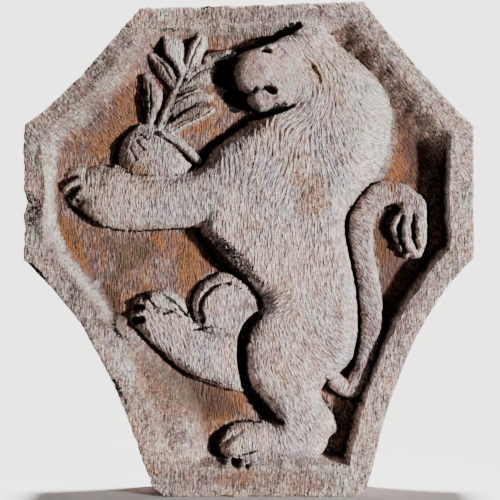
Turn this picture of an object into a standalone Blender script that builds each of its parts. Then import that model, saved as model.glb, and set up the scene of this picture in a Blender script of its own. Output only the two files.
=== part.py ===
"""Stone coat of arms: a shield cut from one block, with a raised rim, a sunk field and a rampant lion
that holds a quince on its branch.

Frame: +Z up. The carved face looks along -Y, the back lies in the plane Y = 0, and the origin is the
middle of the back. Lengths are in metres. The figure keeps its pose and proportions as shares of its
own height: its places and sizes are written in figure units, and one unit is FIGURE_HEIGHT / 90.
"""

import math
from dataclasses import dataclass

import bmesh
import bpy
import numpy as np

# The block
SHIELD_HEIGHT = 0.700
SHIELD_WIDTH = 0.637
SHIELD_THICKNESS = 0.110
FIELD_DEPTH = 0.043

# The outline, seen from the front
TOP_WIDTH = 0.317
TOP_SHIFT = 0.0035
TOP_FALL = 0.009
TOP_LEFT_CORNER_WIDTH = 0.023
TOP_LEFT_CORNER_DROP = 0.028
SHOULDER_DROP_LEFT = 0.174
SHOULDER_DROP_RIGHT = 0.176
SIDE_LENGTH_LEFT = 0.193
SIDE_LENGTH_RIGHT = 0.187
UPPER_BEND_LEFT = 0.014
UPPER_BEND_LEFT_AT = 0.32
UPPER_BEND_RIGHT = 0.008
LOWER_BEND = 0.058
LOWER_BEND_AT = 0.38
FOOT_WIDTH = 0.304
FOOT_SHIFT = 0.016
FOOT_CORNER = 0.012
FOOT_CORNER_REACH = 0.048

# The rim: its flat width and the width of the slope down to the field, on each side
RIM_TOP, SLOPE_TOP = 0.026, 0.018
RIM_UPPER_RIGHT, SLOPE_UPPER_RIGHT = 0.030, 0.010
RIM_RIGHT, SLOPE_RIGHT = 0.034, 0.010
RIM_LOWER_RIGHT, SLOPE_LOWER_RIGHT = 0.032, 0.012
RIM_FOOT, SLOPE_FOOT = 0.041, 0.016
RIM_LOWER_LEFT, SLOPE_LOWER_LEFT = 0.031, 0.024
RIM_LEFT, SLOPE_LEFT = 0.028, 0.018
RIM_UPPER_LEFT, SLOPE_UPPER_LEFT = 0.026, 0.028

RIM_SIDES = {
    "top": (RIM_TOP, SLOPE_TOP),
    "upper_right": (RIM_UPPER_RIGHT, SLOPE_UPPER_RIGHT),
    "right": (RIM_RIGHT, SLOPE_RIGHT),
    "lower_right": (RIM_LOWER_RIGHT, SLOPE_LOWER_RIGHT),
    "foot": (RIM_FOOT, SLOPE_FOOT),
    "lower_left": (RIM_LOWER_LEFT, SLOPE_LOWER_LEFT),
    "left": (RIM_LEFT, SLOPE_LEFT),
    "upper_left": (RIM_UPPER_LEFT, SLOPE_UPPER_LEFT),
}

# Wear of the broken left edge: its depth, its waves (radians per metre, strength, phase) and one notch
EDGE_WEAR = 0.0018
WEAR_WAVES = ((97.0, 1.0, 0.0), (163.0, 0.7, 1.3), (241.0, 0.5, 0.4))
NOTCH_HEIGHT, NOTCH_DEPTH, NOTCH_REACH = 0.066, 0.005, 0.018

# The figure: its height, how far its broad swellings fall from crest to edge, and the locks of the mane
FIGURE_HEIGHT = 0.630
FIGURE_UNITS_TALL = 90.0
CROWN_FALL = 0.08
TRUNK_CROWN_FALL = 0.12
LOCK_DEPTH = 0.0034
LOCK_HALF_WIDTH = 0.0036
LOCK_TIP = 0.4
LOCK_PITCH = 0.0125
LOCK_LENGTH = 0.046

# The back is parted along lines at these places, so that its middle lies inside one of its panels
BACK_LINES_ACROSS = (-0.12, 0.10)
BACK_LINES_UP = (-0.10, 0.10)

# The mesh
GRID_STEP = 0.0024
FRONT_TRIANGLES = 8900
CURVE_STEPS = 16
SPINE_STEPS = 6
LOCK_STEPS = 8
SHARP_DEGREES = 40

STONE_COLOUR = (0.46, 0.385, 0.36, 1.0)
STONE_ROUGHNESS = 0.93


@dataclass(frozen=True)
class Form:
    """A swelling of the figure, or a cut into it, along a spine.

    Each station is (x, z, half width, height) in figure units. The edge rolls over within the width
    roll, and fullness 0.5 gives a quarter round while 1 gives a soft slope.
    """

    stations: tuple
    roll: float = 5.0
    fullness: float = 0.6


@dataclass(frozen=True)
class Trunk:
    """An upright mass between two contours.

    Each station is (z, left, right, height) in figure units, from the top down. The left flank falls
    away softly and the right edge is rounder, each within its own roll.
    """

    stations: tuple
    left_roll: float
    right_roll: float
    left_fullness: float = 0.95
    right_fullness: float = 0.6


@dataclass(frozen=True)
class Group:
    """Forms that melt into each other within the height blend, in figure units."""

    blend: float
    forms: tuple


BRANCH = Group(0.3, (
    Form(((-20.7, 35.3, 1.0, 1.8), (-19.7, 31.0, 2.1, 2.4), (-20.3, 26.4, 1.2, 2.2)), 1.4),
    Form(((-18.4, 24.4, 1.0, 2.6), (-16.2, 29.4, 1.0, 2.4), (-14.0, 34.5, 0.8, 2.2)), 1.0),
    Form(((-19.9, 39.7, 0.8, 1.6), (-17.4, 37.3, 1.6, 2.0), (-15.0, 33.3, 1.2, 2.0)), 1.2),
    Form(((-17.2, 43.1, 0.6, 2.6), (-15.2, 40.5, 1.8, 3.3), (-13.6, 35.7, 0.9, 2.6)), 1.2),
    Form(((-8.8, 44.6, 0.6, 2.6), (-10.6, 40.9, 2.0, 3.1), (-13.0, 35.3, 0.9, 2.4)), 1.4),
    Form(((-5.9, 37.5, 0.6, 2.2), (-9.2, 36.5, 1.6, 2.8), (-13.0, 33.3, 0.9, 2.4)), 1.2),
    Form(((-8.0, 30.6, 0.7, 1.8), (-11.4, 30.0, 1.7, 2.5), (-15.4, 28.2, 0.9, 2.3)), 1.2),
    Form(((-7.4, 27.9, 0.6, 1.8), (-11.8, 26.4, 1.5, 2.6), (-16.4, 24.0, 0.9, 2.4)), 1.0),
    Form(((-17.6, 23.3, 0.8, 4.3), (-14.2, 21.2, 0.8, 4.3), (-10.4, 17.7, 0.7, 4.2)), 0.8),
))
QUINCE = Group(0.8, (
    Form(((-19.9, 18.9, 7.0, 4.1), (-17.8, 18.3, 6.2, 4.1)), 6.0, 0.5),
))
TAIL = Group(0.4, (
    Form((
        (17.8, -27.2, 1.8, 3.0), (20.9, -28.4, 2.2, 3.4), (23.5, -25.4, 2.3, 3.5),
        (24.9, -19.4, 2.4, 3.6), (25.3, -13.5, 2.4, 3.6), (24.5, -7.5, 2.4, 3.5),
        (23.3, -1.0, 2.3, 3.3), (22.9, 4.2, 2.4, 3.1), (24.1, 8.5, 2.5, 3.0),
        (27.3, 11.1, 2.5, 3.2), (30.9, 11.3, 2.4, 3.4), (33.6, 9.3, 2.4, 3.6),
    ), 2.2, 0.5),
    Form((
        (31.8, 7.5, 0.9, 3.4), (29.7, 4.6, 0.8, 3.0), (30.7, 1.4, 0.9, 3.0), (32.6, -1.2, 0.7, 2.4),
    ), 0.8),
    Form((
        (32.4, 8.7, 1.5, 3.8), (32.0, 4.6, 1.4, 3.8), (32.6, 1.0, 1.2, 3.6), (33.8, -1.6, 0.9, 2.8),
    ), 1.2),
    Form((
        (34.8, 8.7, 1.8, 3.8), (35.2, 5.0, 1.3, 3.8), (35.4, 1.4, 1.3, 3.6), (34.4, -2.0, 1.0, 2.8),
    ), 1.2),
))
FAR_LEG = Group(0.5, (
    Form((
        (-19.9, -13.3, 4.4, 3.7), (-15.0, -17.9, 5.0, 4.1), (-9.0, -21.6, 5.2, 4.3), (-2.1, -23.6, 5.6, 4.2),
    ), 2.6),
    Form(((-4.5, -12.1, 7.2, 3.4), (-1.7, -18.3, 6.0, 3.6)), 3.4, 0.55),
))
WORN_GROUND = Group(1.5, (
    Form((
        (-25.0, -20.0, 4.5, 4.6), (-20.5, -27.5, 6.5, 4.4), (-16.0, -34.5, 8.0, 4.4),
        (-12.5, -42.0, 9.0, 5.2),
    ), 6.5, 1.0),
))
BODY = Group(1.0, (
    Trunk((
        (14.0, -7.0, 20.5, 6.2), (9.0, -9.5, 20.6, 6.3), (4.2, -10.2, 19.8, 6.3), (-0.4, -7.6, 20.6, 6.2),
        (-5.0, -3.6, 21.4, 6.0), (-9.2, 1.8, 22.2, 5.8), (-12.1, 3.4, 22.5, 5.8), (-14.6, 1.6, 22.6, 6.0),
        (-18.2, -0.2, 22.4, 6.3), (-22.4, 0.2, 21.2, 6.1), (-25.8, 0.3, 18.2, 5.8), (-28.5, 1.9, 15.2, 5.5),
        (-31.2, 4.9, 15.4, 5.3), (-34.0, 6.4, 17.6, 5.2), (-37.0, 4.6, 18.0, 5.1), (-40.0, 2.4, 15.6, 5.2),
        (-43.2, 2.0, 14.6, 5.0),
    ), 5.4, 3.6),
    Form((
        (12.4, -38.8, 4.2, 5.0), (6.4, -39.2, 4.3, 5.2), (-0.7, -39.2, 4.2, 5.3), (-3.2, -39.7, 3.7, 5.0),
    ), 3.6, 0.55),
    Form((
        (2.0, 11.4, 7.6, 6.2), (-5.0, 11.4, 7.2, 6.0), (-12.4, 9.9, 5.8, 5.6), (-21.9, 9.5, 5.6, 5.4),
        (-29.1, 11.1, 6.7, 5.6), (-33.6, 12.7, 4.7, 4.9),
    ), 3.8, 0.55),
    Form((
        (14.0, 40.1, 5.2, 6.5), (16.6, 32.6, 10.3, 7.0), (17.7, 27.2, 11.7, 7.1),
        (17.6, 20.4, 10.3, 6.9), (14.6, 14.0, 8.8, 6.4),
    ), 7.0, 0.7),
    Form((
        (8.8, 26.4, 6.0, 6.5), (3.9, 20.6, 6.7, 6.6), (-0.9, 16.5, 7.5, 6.4), (-4.9, 13.0, 6.5, 5.9),
    ), 4.6, 0.75),
    Form(((10.4, 22.0, 8.1, 6.8), (7.4, 14.9, 9.1, 6.4)), 7.0, 0.8),
))
HEAD = Group(0.8, (
    Form(((11.6, 39.8, 5.0, 7.0), (5.9, 38.0, 5.2, 7.0), (1.2, 36.2, 4.9, 6.6)), 2.8, 0.5),
    Form(((0.8, 36.2, 4.4, 7.0), (2.6, 35.6, 4.2, 7.0)), 3.6, 0.5),
    Form(((6.6, 33.4, 5.4, 7.0), (10.8, 33.6, 5.8, 7.3)), 4.2, 0.55),
    Form(((8.0, 30.9, 3.2, 6.4), (2.8, 30.7, 3.0, 6.2)), 2.0, 0.5),
    Form(((10.4, 44.0, 1.8, 6.4), (14.0, 43.0, 2.6, 6.6)), 1.8),
))
FIGURE = (BRANCH, QUINCE, TAIL, FAR_LEG, BODY, HEAD)

CUTS = (
    # The channel between the head and the rim
    Form(((10.2, 45.3, 0.7, 3.6), (6.1, 43.2, 0.8, 4.8), (-1.7, 40.6, 0.9, 4.8)), 0.7, 0.5),
    # Mouth, the line under the jaw, the eye, and the crease of the ear
    Form(((5.2, 32.2, 0.8, 3.4), (3.2, 31.9, 0.7, 3.0), (0.2, 31.6, 0.4, 1.4)), 0.6, 0.5),
    Form(((9.0, 28.8, 0.5, 1.6), (5.6, 27.9, 0.7, 3.0), (0.8, 26.9, 0.8, 3.4)), 0.7, 0.5),
    Form(((3.4, 40.0, 0.6, 1.4), (4.6, 39.8, 0.6, 1.2)), 0.6, 0.5),
    Form(((10.8, 38.1, 0.4, 0.6), (13.4, 36.0, 0.5, 0.9), (14.8, 32.2, 0.4, 0.6)), 0.5, 0.5),
    # Toes of the raised paw
    Form(((-34.4, 17.3, 0.4, 2.2), (-38.2, 15.5, 0.7, 3.4)), 0.6, 0.5),
    Form(((-35.0, 15.1, 0.5, 2.2), (-38.6, 13.5, 0.8, 3.8)), 0.6, 0.5),
    Form(((-34.8, 12.5, 0.6, 2.4), (-37.8, 10.5, 0.9, 3.8)), 0.6, 0.5),
    Form(((-34.6, 9.7, 0.6, 2.0), (-37.0, 8.1, 0.8, 3.2)), 0.6, 0.5),
    # Toes and the broken edge of the far paw
    Form(((-20.3, -11.5, 0.7, 2.0), (-24.0, -11.9, 1.1, 3.4)), 0.8, 0.5),
    Form(((-20.9, -14.1, 0.8, 2.4), (-24.2, -14.9, 1.1, 3.4)), 0.8, 0.5),
    Form(((-20.6, -9.1, 0.5, 1.6), (-17.0, -9.6, 0.4, 1.0), (-12.7, -13.8, 0.5, 1.2)), 0.5, 0.5),
    # Toes of the near foot
    Form(((0.4, -42.0, 0.6, 1.8), (-3.6, -42.6, 0.9, 2.8)), 0.8, 0.5),
    Form(((-2.6, -37.6, 0.4, 1.0), (-6.6, -38.6, 0.7, 2.4)), 0.6, 0.5),
    # Crease inside the edge of the far knee, and between the knee and the far leg
    Form((
        (-9.2, -14.7, 0.6, 0.9), (-9.7, -11.1, 0.6, 1.1), (-7.4, -8.1, 0.6, 1.1), (-4.1, -7.3, 0.5, 0.8),
    ), 0.5, 0.5),
    Form(((-10.4, -16.5, 0.7, 1.6), (-8.2, -17.3, 0.6, 1.2), (-4.8, -17.6, 0.5, 0.7)), 0.6, 0.5),
    # Hollows between the locks of the tail's tuft
    Form(((30.2, 7.9, 0.9, 2.6), (28.0, 4.7, 1.2, 2.8), (30.0, 0.9, 0.8, 2.6)), 1.0, 0.5),
    Form(((31.6, 6.2, 0.5, 2.6), (30.8, 3.2, 0.6, 3.0), (32.0, -0.6, 0.5, 2.4)), 0.5, 0.5),
    Form(((33.9, 6.9, 0.6, 1.8), (33.5, 3.8, 0.7, 2.4), (34.3, 0.2, 0.5, 2.0)), 0.5, 0.5),
)

# How the hair lies: (x, z, direction in degrees) in figure units, between which it turns smoothly
HAIR_LAY = (
    (12.5, 39.0, -48), (15.4, 36.0, -72), (15.8, 32.0, -98), (13.6, 28.6, -128), (10.4, 26.2, -150),
    (20.5, 37.5, -50), (24.5, 32.5, -40), (27.0, 27.0, -24), (27.0, 21.0, -24), (23.5, 15.5, -40),
    (20.5, 31.0, -62), (20.0, 24.5, -62), (17.0, 18.0, -66), (14.0, 22.5, -84), (10.0, 19.5, -96),
    (4.5, 22.5, -84), (-2.5, 19.5, -80), (1.5, 15.5, -112), (8.0, 13.5, -112),
)
MANE_HEART = (13.5, 24.5)
MANE_REACH = (15.5, 20.5)
CHEST_HEART = (0.5, 19.0)
CHEST_REACH = (9.0, 7.0)
CHEEK = (7.5, 35.0)
CHEEK_REACH = 7.0


def figure_unit() -> float:
    """One figure unit in metres."""
    return FIGURE_HEIGHT / FIGURE_UNITS_TALL


def curve_between(start, end, bend=0.0, bend_at=0.5):
    """Points of the curve from start to end that is pulled to the right of its straight line by bend."""
    start, end = np.array(start), np.array(end)
    along = end - start
    aside = np.array((along[1], -along[0])) / np.hypot(*along)
    pull = start + along * bend_at + aside * bend
    t = np.linspace(0, 1, CURVE_STEPS + 1)[:, None]
    return (1 - t) ** 2 * start + 2 * t * (1 - t) * pull + t ** 2 * end


def outline_sides():
    """The sides of the shield as named lines of (x, z) points, clockwise from the top left."""
    top, foot, side = SHIELD_HEIGHT / 2, -SHIELD_HEIGHT / 2, SHIELD_WIDTH / 2
    top_left = (TOP_SHIFT - TOP_WIDTH / 2, top - TOP_FALL)
    top_right = (TOP_SHIFT + TOP_WIDTH / 2, top)
    clipped = (top_left[0] - TOP_LEFT_CORNER_WIDTH, top_left[1] - TOP_LEFT_CORNER_DROP)
    shoulder_left = (-side, top - SHOULDER_DROP_LEFT)
    shoulder_right = (side, top - SHOULDER_DROP_RIGHT)
    hip_left = (-side, shoulder_left[1] - SIDE_LENGTH_LEFT)
    hip_right = (side, shoulder_right[1] - SIDE_LENGTH_RIGHT)
    foot_left = (FOOT_SHIFT - FOOT_WIDTH / 2, foot)
    foot_right = (FOOT_SHIFT + FOOT_WIDTH / 2, foot)
    slope = curve_between(shoulder_left, clipped, UPPER_BEND_LEFT, UPPER_BEND_LEFT_AT)
    corner = curve_between(clipped, top_left)[1:]
    return {
        "top": curve_between(top_left, top_right),
        "upper_right": curve_between(top_right, shoulder_right, UPPER_BEND_RIGHT),
        "right": curve_between(shoulder_right, hip_right),
        "lower_right": curve_between(hip_right, foot_right, LOWER_BEND, LOWER_BEND_AT),
        "foot": curve_between(foot_right, foot_left),
        "lower_left": curve_between(foot_left, hip_left, LOWER_BEND, 1 - LOWER_BEND_AT),
        "left": curve_between(hip_left, shoulder_left),
        "upper_left": np.vstack((slope, corner)),
    }


def nearest_on_line(x, z, line):
    """Distance of each point (x, z) to a line, and the line's other columns where it is nearest."""
    best = np.full(x.shape, np.inf)
    carried = np.zeros((line.shape[1] - 2,) + x.shape)
    for start, end in zip(line[:-1], line[1:]):
        along = end - start
        length_squared = max(along[0] ** 2 + along[1] ** 2, 1e-12)
        t = np.clip(((x - start[0]) * along[0] + (z - start[1]) * along[1]) / length_squared, 0, 1)
        distance = np.hypot(x - start[0] - t * along[0], z - start[1] - t * along[1])
        nearer = distance < best
        best = np.where(nearer, distance, best)
        for row, (low, rise) in enumerate(zip(start[2:], along[2:])):
            carried[row] = np.where(nearer, low + t * rise, carried[row])
    return best, carried


def smooth_spine(stations):
    """A spine through the stations, with its half widths and heights, as a smooth line."""
    points = np.array(stations, float)
    ends = np.vstack((2 * points[0] - points[1], points, 2 * points[-1] - points[-2]))
    t = np.linspace(0, 1, SPINE_STEPS, endpoint=False)[:, None]
    spans = []
    for before, start, end, after in zip(ends, ends[1:], ends[2:], ends[3:]):
        spans.append(
            start + 0.5 * t * (end - before)
            + t ** 2 * (before - 2.5 * start + 2 * end - 0.5 * after)
            + t ** 3 * (1.5 * (start - end) + 0.5 * (after - before))
        )
    return np.vstack(spans + [points[-1:]])


def swell(form, x, z):
    """Height of one form at the points (x, z), all in figure units."""
    spine = smooth_spine(form.stations)
    reach = spine[:, 2].max()
    near = np.nonzero(
        (x > spine[:, 0].min() - reach) & (x < spine[:, 0].max() + reach)
        & (z > spine[:, 1].min() - reach) & (z < spine[:, 1].max() + reach)
    )[0]
    height = np.zeros(x.shape)
    distance, (half_width, crest) = nearest_on_line(x[near], z[near], spine)
    inside = np.clip((half_width - distance) / np.minimum(form.roll, half_width), 0, 1)
    crown = 1 - CROWN_FALL * np.clip(distance / half_width, 0, 1) ** 2
    height[near] = crest * crown * (1 - (1 - inside) ** 2) ** form.fullness
    return height


def swell_trunk(trunk, x, z):
    """Height of an upright mass at the points (x, z), all in figure units."""
    level, left, right, crest = smooth_spine(trunk.stations)[::-1].T
    lean_left, lean_right = np.gradient(left, level), np.gradient(right, level)
    from_left = (x - np.interp(z, level, left)) / np.hypot(1, np.interp(z, level, lean_left))
    from_right = (np.interp(z, level, right) - x) / np.hypot(1, np.interp(z, level, lean_right))
    from_end = np.minimum(z - level[0], level[-1] - z)
    soft = np.clip(from_left / trunk.left_roll, 0, 1)
    round_side = np.clip(np.minimum(from_right, from_end) / trunk.right_roll, 0, 1)
    left_fall = (1 - (1 - soft) ** 2) ** trunk.left_fullness
    right_fall = (1 - (1 - round_side) ** 2) ** trunk.right_fullness
    off_middle = np.abs(from_right - from_left) / np.maximum(from_right + from_left, 1e-6)
    crown = 1 - TRUNK_CROWN_FALL * (np.clip(off_middle, 0, 1) ** 2 - 1 / 3)
    return np.interp(z, level, crest) * left_fall * right_fall * crown


def melt(low, high, blend):
    """The higher of two heights, rounded where they meet on the stone."""
    meeting = np.clip(1 - np.abs(low - high) / blend, 0, 1)
    rooted = np.clip(np.minimum(low, high) / blend, 0, 1)
    return np.maximum(low, high) + blend / 4 * meeting ** 2 * rooted


def group_height(group, x, z):
    """Height of a group of forms at the points (x, z), in figure units."""
    height = np.zeros(x.shape)
    for form in group.forms:
        rise = swell_trunk if isinstance(form, Trunk) else swell
        height = melt(height, rise(form, x, z), group.blend)
    return height


def hair_direction(x, z):
    """Unit vector in which the hair lies at each point, in figure units."""
    along_x, along_z = np.zeros(x.shape), np.zeros(x.shape)
    for anchor_x, anchor_z, degrees in HAIR_LAY:
        weight = 1 / ((x - anchor_x) ** 2 + (z - anchor_z) ** 2 + 2.0) ** 1.5
        along_x += weight * math.cos(math.radians(degrees))
        along_z += weight * math.sin(math.radians(degrees))
    length = np.hypot(along_x, along_z)
    return along_x / length, along_z / length


def in_mane(x, z):
    """Whether the points (x, z) are on the combed part of the mane or chest, clear of the face."""
    combed = False
    for heart, reach in ((MANE_HEART, MANE_REACH), (CHEST_HEART, CHEST_REACH)):
        combed |= ((x - heart[0]) / reach[0]) ** 2 + ((z - heart[1]) / reach[1]) ** 2 < 0.9
    return combed & (np.hypot(x - CHEEK[0], z - CHEEK[1]) > CHEEK_REACH)


def lock_lines():
    """The grooves between the locks of the mane, each a line of (x, z, half width, depth) stations."""
    unit = figure_unit()
    pitch, stride = LOCK_PITCH / unit, LOCK_LENGTH / unit
    lines = []
    rows = int(2 * MANE_REACH[1] / stride) + 2
    columns = int((MANE_HEART[0] + MANE_REACH[0] - CHEST_HEART[0] + CHEST_REACH[0]) / pitch) + 1
    for row in range(rows):
        for column in range(columns):
            x = MANE_HEART[0] + MANE_REACH[0] - pitch * (column + 0.5 * (row % 2))
            z = MANE_HEART[1] + MANE_REACH[1] - stride * (row + 0.35 * (column % 2))
            stations = []
            for step in range(LOCK_STEPS + 1):
                if not in_mane(np.array(x), np.array(z)):
                    break
                swelling = math.sin(math.pi * (0.1 + 0.8 * step / LOCK_STEPS))
                half_width = LOCK_HALF_WIDTH * (LOCK_TIP + (1 - LOCK_TIP) * swelling)
                stations.append((x, z, half_width / unit, LOCK_DEPTH * swelling / unit))
                run_x, run_z = hair_direction(np.array(x), np.array(z))
                x += float(run_x) * stride / LOCK_STEPS
                z += float(run_z) * stride / LOCK_STEPS
            if len(stations) > LOCK_STEPS // 2:
                lines.append(Form(tuple(stations[::2]), LOCK_HALF_WIDTH / unit))
    return lines


def rim_height(x, z):
    """Height of the rim over the field at the points (x, z), in metres."""
    height = np.zeros(x.shape)
    for name, line in outline_sides().items():
        flat, slope = RIM_SIDES[name]
        distance, _ = nearest_on_line(x, z, line)
        fall = np.clip((distance - flat) / slope, 0, 1)
        height = np.maximum(height, FIELD_DEPTH * (1 - fall * fall * (3 - 2 * fall)))
    return height


def relief_height(x, z):
    """Height of the carving over the field at the points (x, z), in metres."""
    unit = figure_unit()
    figure_x, figure_z = x / unit, z / unit
    ground = melt(rim_height(x, z), unit * group_height(WORN_GROUND, figure_x, figure_z), unit)
    height = ground / unit
    for group in FIGURE:
        height = np.maximum(height, group_height(group, figure_x, figure_z))
    for cut in CUTS:
        height = height - swell(cut, figure_x, figure_z)
    locks = np.zeros(x.shape)
    for line in lock_lines():
        locks = np.maximum(locks, swell(line, figure_x, figure_z))
    return np.maximum(unit * (height - locks), 0)


def worn_edge(z):
    """How far the broken left edge stands back from its line at each height."""
    ripple = sum(strength * np.sin(z * rate + phase) for rate, strength, phase in WEAR_WAVES)
    notch = NOTCH_DEPTH * np.clip(1 - ((z - NOTCH_HEIGHT) / NOTCH_REACH) ** 2, 0, 1)
    return EDGE_WEAR * np.clip(ripple, 0, None) + notch


def place_on_front(u, v):
    """The front's (x, z) for shares u across and v up the shield."""
    sides = outline_sides()
    right = np.vstack((sides["upper_right"], sides["right"][1:], sides["lower_right"][1:]))[::-1]
    left = np.vstack((sides["lower_left"], sides["left"][1:], sides["upper_left"][1:]))
    half_height = SHIELD_HEIGHT / 2
    level = -half_height + v * SHIELD_HEIGHT
    left_level = -half_height + v * (SHIELD_HEIGHT - TOP_FALL)
    left_x = np.interp(left_level, left[:, 1], left[:, 0]) + worn_edge(left_level)
    right_x = np.interp(level, right[:, 1], right[:, 0])
    x = left_x + u * (right_x - left_x)
    z = left_level + u * (level - left_level)
    corner = np.clip(1 - np.minimum(u, 1 - u) * FOOT_WIDTH / (2 * FOOT_CORNER), 0, 1) ** 2
    low = np.clip(1 - v * SHIELD_HEIGHT / FOOT_CORNER_REACH, 0, 1)
    return x, z + FOOT_CORNER * corner * low


def carved_front():
    """The carved face as one open sheet, thinned to the triangles that its shape needs."""
    columns = round(SHIELD_WIDTH / GRID_STEP)
    rows = round(SHIELD_HEIGHT / GRID_STEP)
    grid = bmesh.new()
    bmesh.ops.create_grid(grid, x_segments=columns, y_segments=rows, size=0.5)
    dense = bpy.data.meshes.new("dense_front")
    grid.to_mesh(dense)
    grid.free()

    places = np.empty(len(dense.vertices) * 3, np.float32)
    dense.vertices.foreach_get("co", places)
    places = places.reshape(-1, 3).astype(float)
    x, z = place_on_front(places[:, 0] + 0.5, places[:, 1] + 0.5)
    y = -(SHIELD_THICKNESS - FIELD_DEPTH) - relief_height(x, z)
    dense.vertices.foreach_set("co", np.column_stack((x, y, z)).ravel())
    dense.update()

    sheet = bpy.data.objects.new("dense_front", dense)
    bpy.context.scene.collection.objects.link(sheet)
    thin = sheet.modifiers.new("thin", "DECIMATE")
    thin.ratio = FRONT_TRIANGLES / (2 * columns * rows)
    thin.use_collapse_triangulate = True
    bpy.context.view_layer.update()
    graph = bpy.context.evaluated_depsgraph_get()
    front = bpy.data.meshes.new_from_object(sheet.evaluated_get(graph))
    bpy.data.objects.remove(sheet)
    bpy.data.meshes.remove(dense)
    return front


def stone_material():
    """Dry weathered limestone."""
    stone = bpy.data.materials.new("stone")
    stone.use_nodes = True
    shader = stone.node_tree.nodes["Principled BSDF"]
    shader.inputs["Base Color"].default_value = STONE_COLOUR
    shader.inputs["Roughness"].default_value = STONE_ROUGHNESS
    shader.inputs["Metallic"].default_value = 0.0
    return stone


def shield_block():
    """The whole block: the carved front, the sides cut square to it and the flat back."""
    block = bmesh.new()
    front = carved_front()
    block.from_mesh(front)
    bpy.data.meshes.remove(front)

    border = [edge for edge in block.edges if edge.is_boundary]
    wall = bmesh.ops.extrude_edge_only(block, edges=border)["geom"]
    back_edges = [item for item in wall if isinstance(item, bmesh.types.BMEdge) and item.is_boundary]
    for vertex in (item for item in wall if isinstance(item, bmesh.types.BMVert)):
        vertex.co.y = 0
    back = bmesh.ops.contextual_create(block, geom=back_edges)["faces"]
    lines = [((across, 0, 0), (1, 0, 0)) for across in BACK_LINES_ACROSS]
    lines += [((0, 0, up), (0, 0, 1)) for up in BACK_LINES_UP]
    for place, normal in lines:
        geometry = back + list({e for f in back for e in f.edges}) + list({v for f in back for v in f.verts})
        cut = bmesh.ops.bisect_plane(block, geom=geometry, plane_co=place, plane_no=normal)
        back = [item for item in cut["geom"] if isinstance(item, bmesh.types.BMFace)]
    bmesh.ops.recalc_face_normals(block, faces=block.faces)

    mesh = bpy.data.meshes.new("carved_shield_stone")
    block.to_mesh(mesh)
    block.free()
    mesh.shade_smooth()
    mesh.set_sharp_from_angle(angle=math.radians(SHARP_DEGREES))
    mesh.materials.append(stone_material())
    shield = bpy.data.objects.new("carved_shield_stone", mesh)
    bpy.context.scene.collection.objects.link(shield)
    return shield


for leftover in list(bpy.data.objects):
    bpy.data.objects.remove(leftover)
shield_block()
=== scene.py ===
"""Dresses the stone coat of arms: one weathered slab, carved with a rampant lion that holds a quince.

Lengths are in metres. The carving is laid out in figure units, one ninetieth of the figure's height, from
the middle of the shield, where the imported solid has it. Its face looks along -Y and its back lies at Y = 0.
"""

import logging
import math
from dataclasses import dataclass, field
from enum import Enum

import bmesh
import bpy
import numpy as np
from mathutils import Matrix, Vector, noise


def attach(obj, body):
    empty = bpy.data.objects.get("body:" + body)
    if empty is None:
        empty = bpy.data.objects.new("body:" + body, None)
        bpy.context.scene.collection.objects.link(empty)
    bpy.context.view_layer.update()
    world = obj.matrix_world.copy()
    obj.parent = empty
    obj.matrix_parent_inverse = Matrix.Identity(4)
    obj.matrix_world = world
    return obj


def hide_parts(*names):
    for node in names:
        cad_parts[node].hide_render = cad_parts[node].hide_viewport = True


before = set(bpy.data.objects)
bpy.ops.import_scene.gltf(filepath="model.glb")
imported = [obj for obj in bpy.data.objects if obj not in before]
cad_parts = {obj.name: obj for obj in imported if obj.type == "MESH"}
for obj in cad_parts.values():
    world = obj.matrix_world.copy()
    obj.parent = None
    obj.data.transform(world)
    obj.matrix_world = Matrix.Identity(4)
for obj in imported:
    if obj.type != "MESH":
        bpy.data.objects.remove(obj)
log = logging.getLogger("coat of arms")

SHIELD_NODE = "carved_shield_stone"
ONLY_BODY = "root"


class Side(Enum):
    """The eight sides of the shield, clockwise from the top as someone who faces it sees them."""

    TOP = "top"
    UPPER_RIGHT = "upper right"
    RIGHT = "right"
    LOWER_RIGHT = "lower right"
    FOOT = "foot"
    LOWER_LEFT = "lower left"
    LEFT = "left"
    UPPER_LEFT = "upper left"


class Carving(Enum):
    """The carved parts of the face, from the lowest layer up."""

    GROUND = 0
    BRANCH = 1
    QUINCE = 2
    TAIL = 3
    FAR_LEG = 4
    BODY = 5
    HEAD = 6


def nearest_on_line(x: np.ndarray, z: np.ndarray, line: np.ndarray) -> tuple[np.ndarray, np.ndarray]:
    """Measures points against a line.

    Args:
        x: Places across.
        z: Places up.
        line: Rows of (x, z, further columns).

    Returns:
        The distance of each point to the line, and the line's further columns where it is nearest.
    """
    best = np.full(x.shape, np.inf)
    carried = np.zeros((line.shape[1] - 2,) + x.shape)
    for start, end in zip(line[:-1], line[1:]):
        along = end - start
        length_squared = max(along[0] ** 2 + along[1] ** 2, 1e-12)
        share = np.clip(((x - start[0]) * along[0] + (z - start[1]) * along[1]) / length_squared, 0, 1)
        distance = np.hypot(x - start[0] - share * along[0], z - start[1] - share * along[1])
        nearer = distance < best
        best = np.where(nearer, distance, best)
        for row, (low, rise) in enumerate(zip(start[2:], along[2:])):
            carried[row] = np.where(nearer, low + share * rise, carried[row])
    return best, carried


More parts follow.
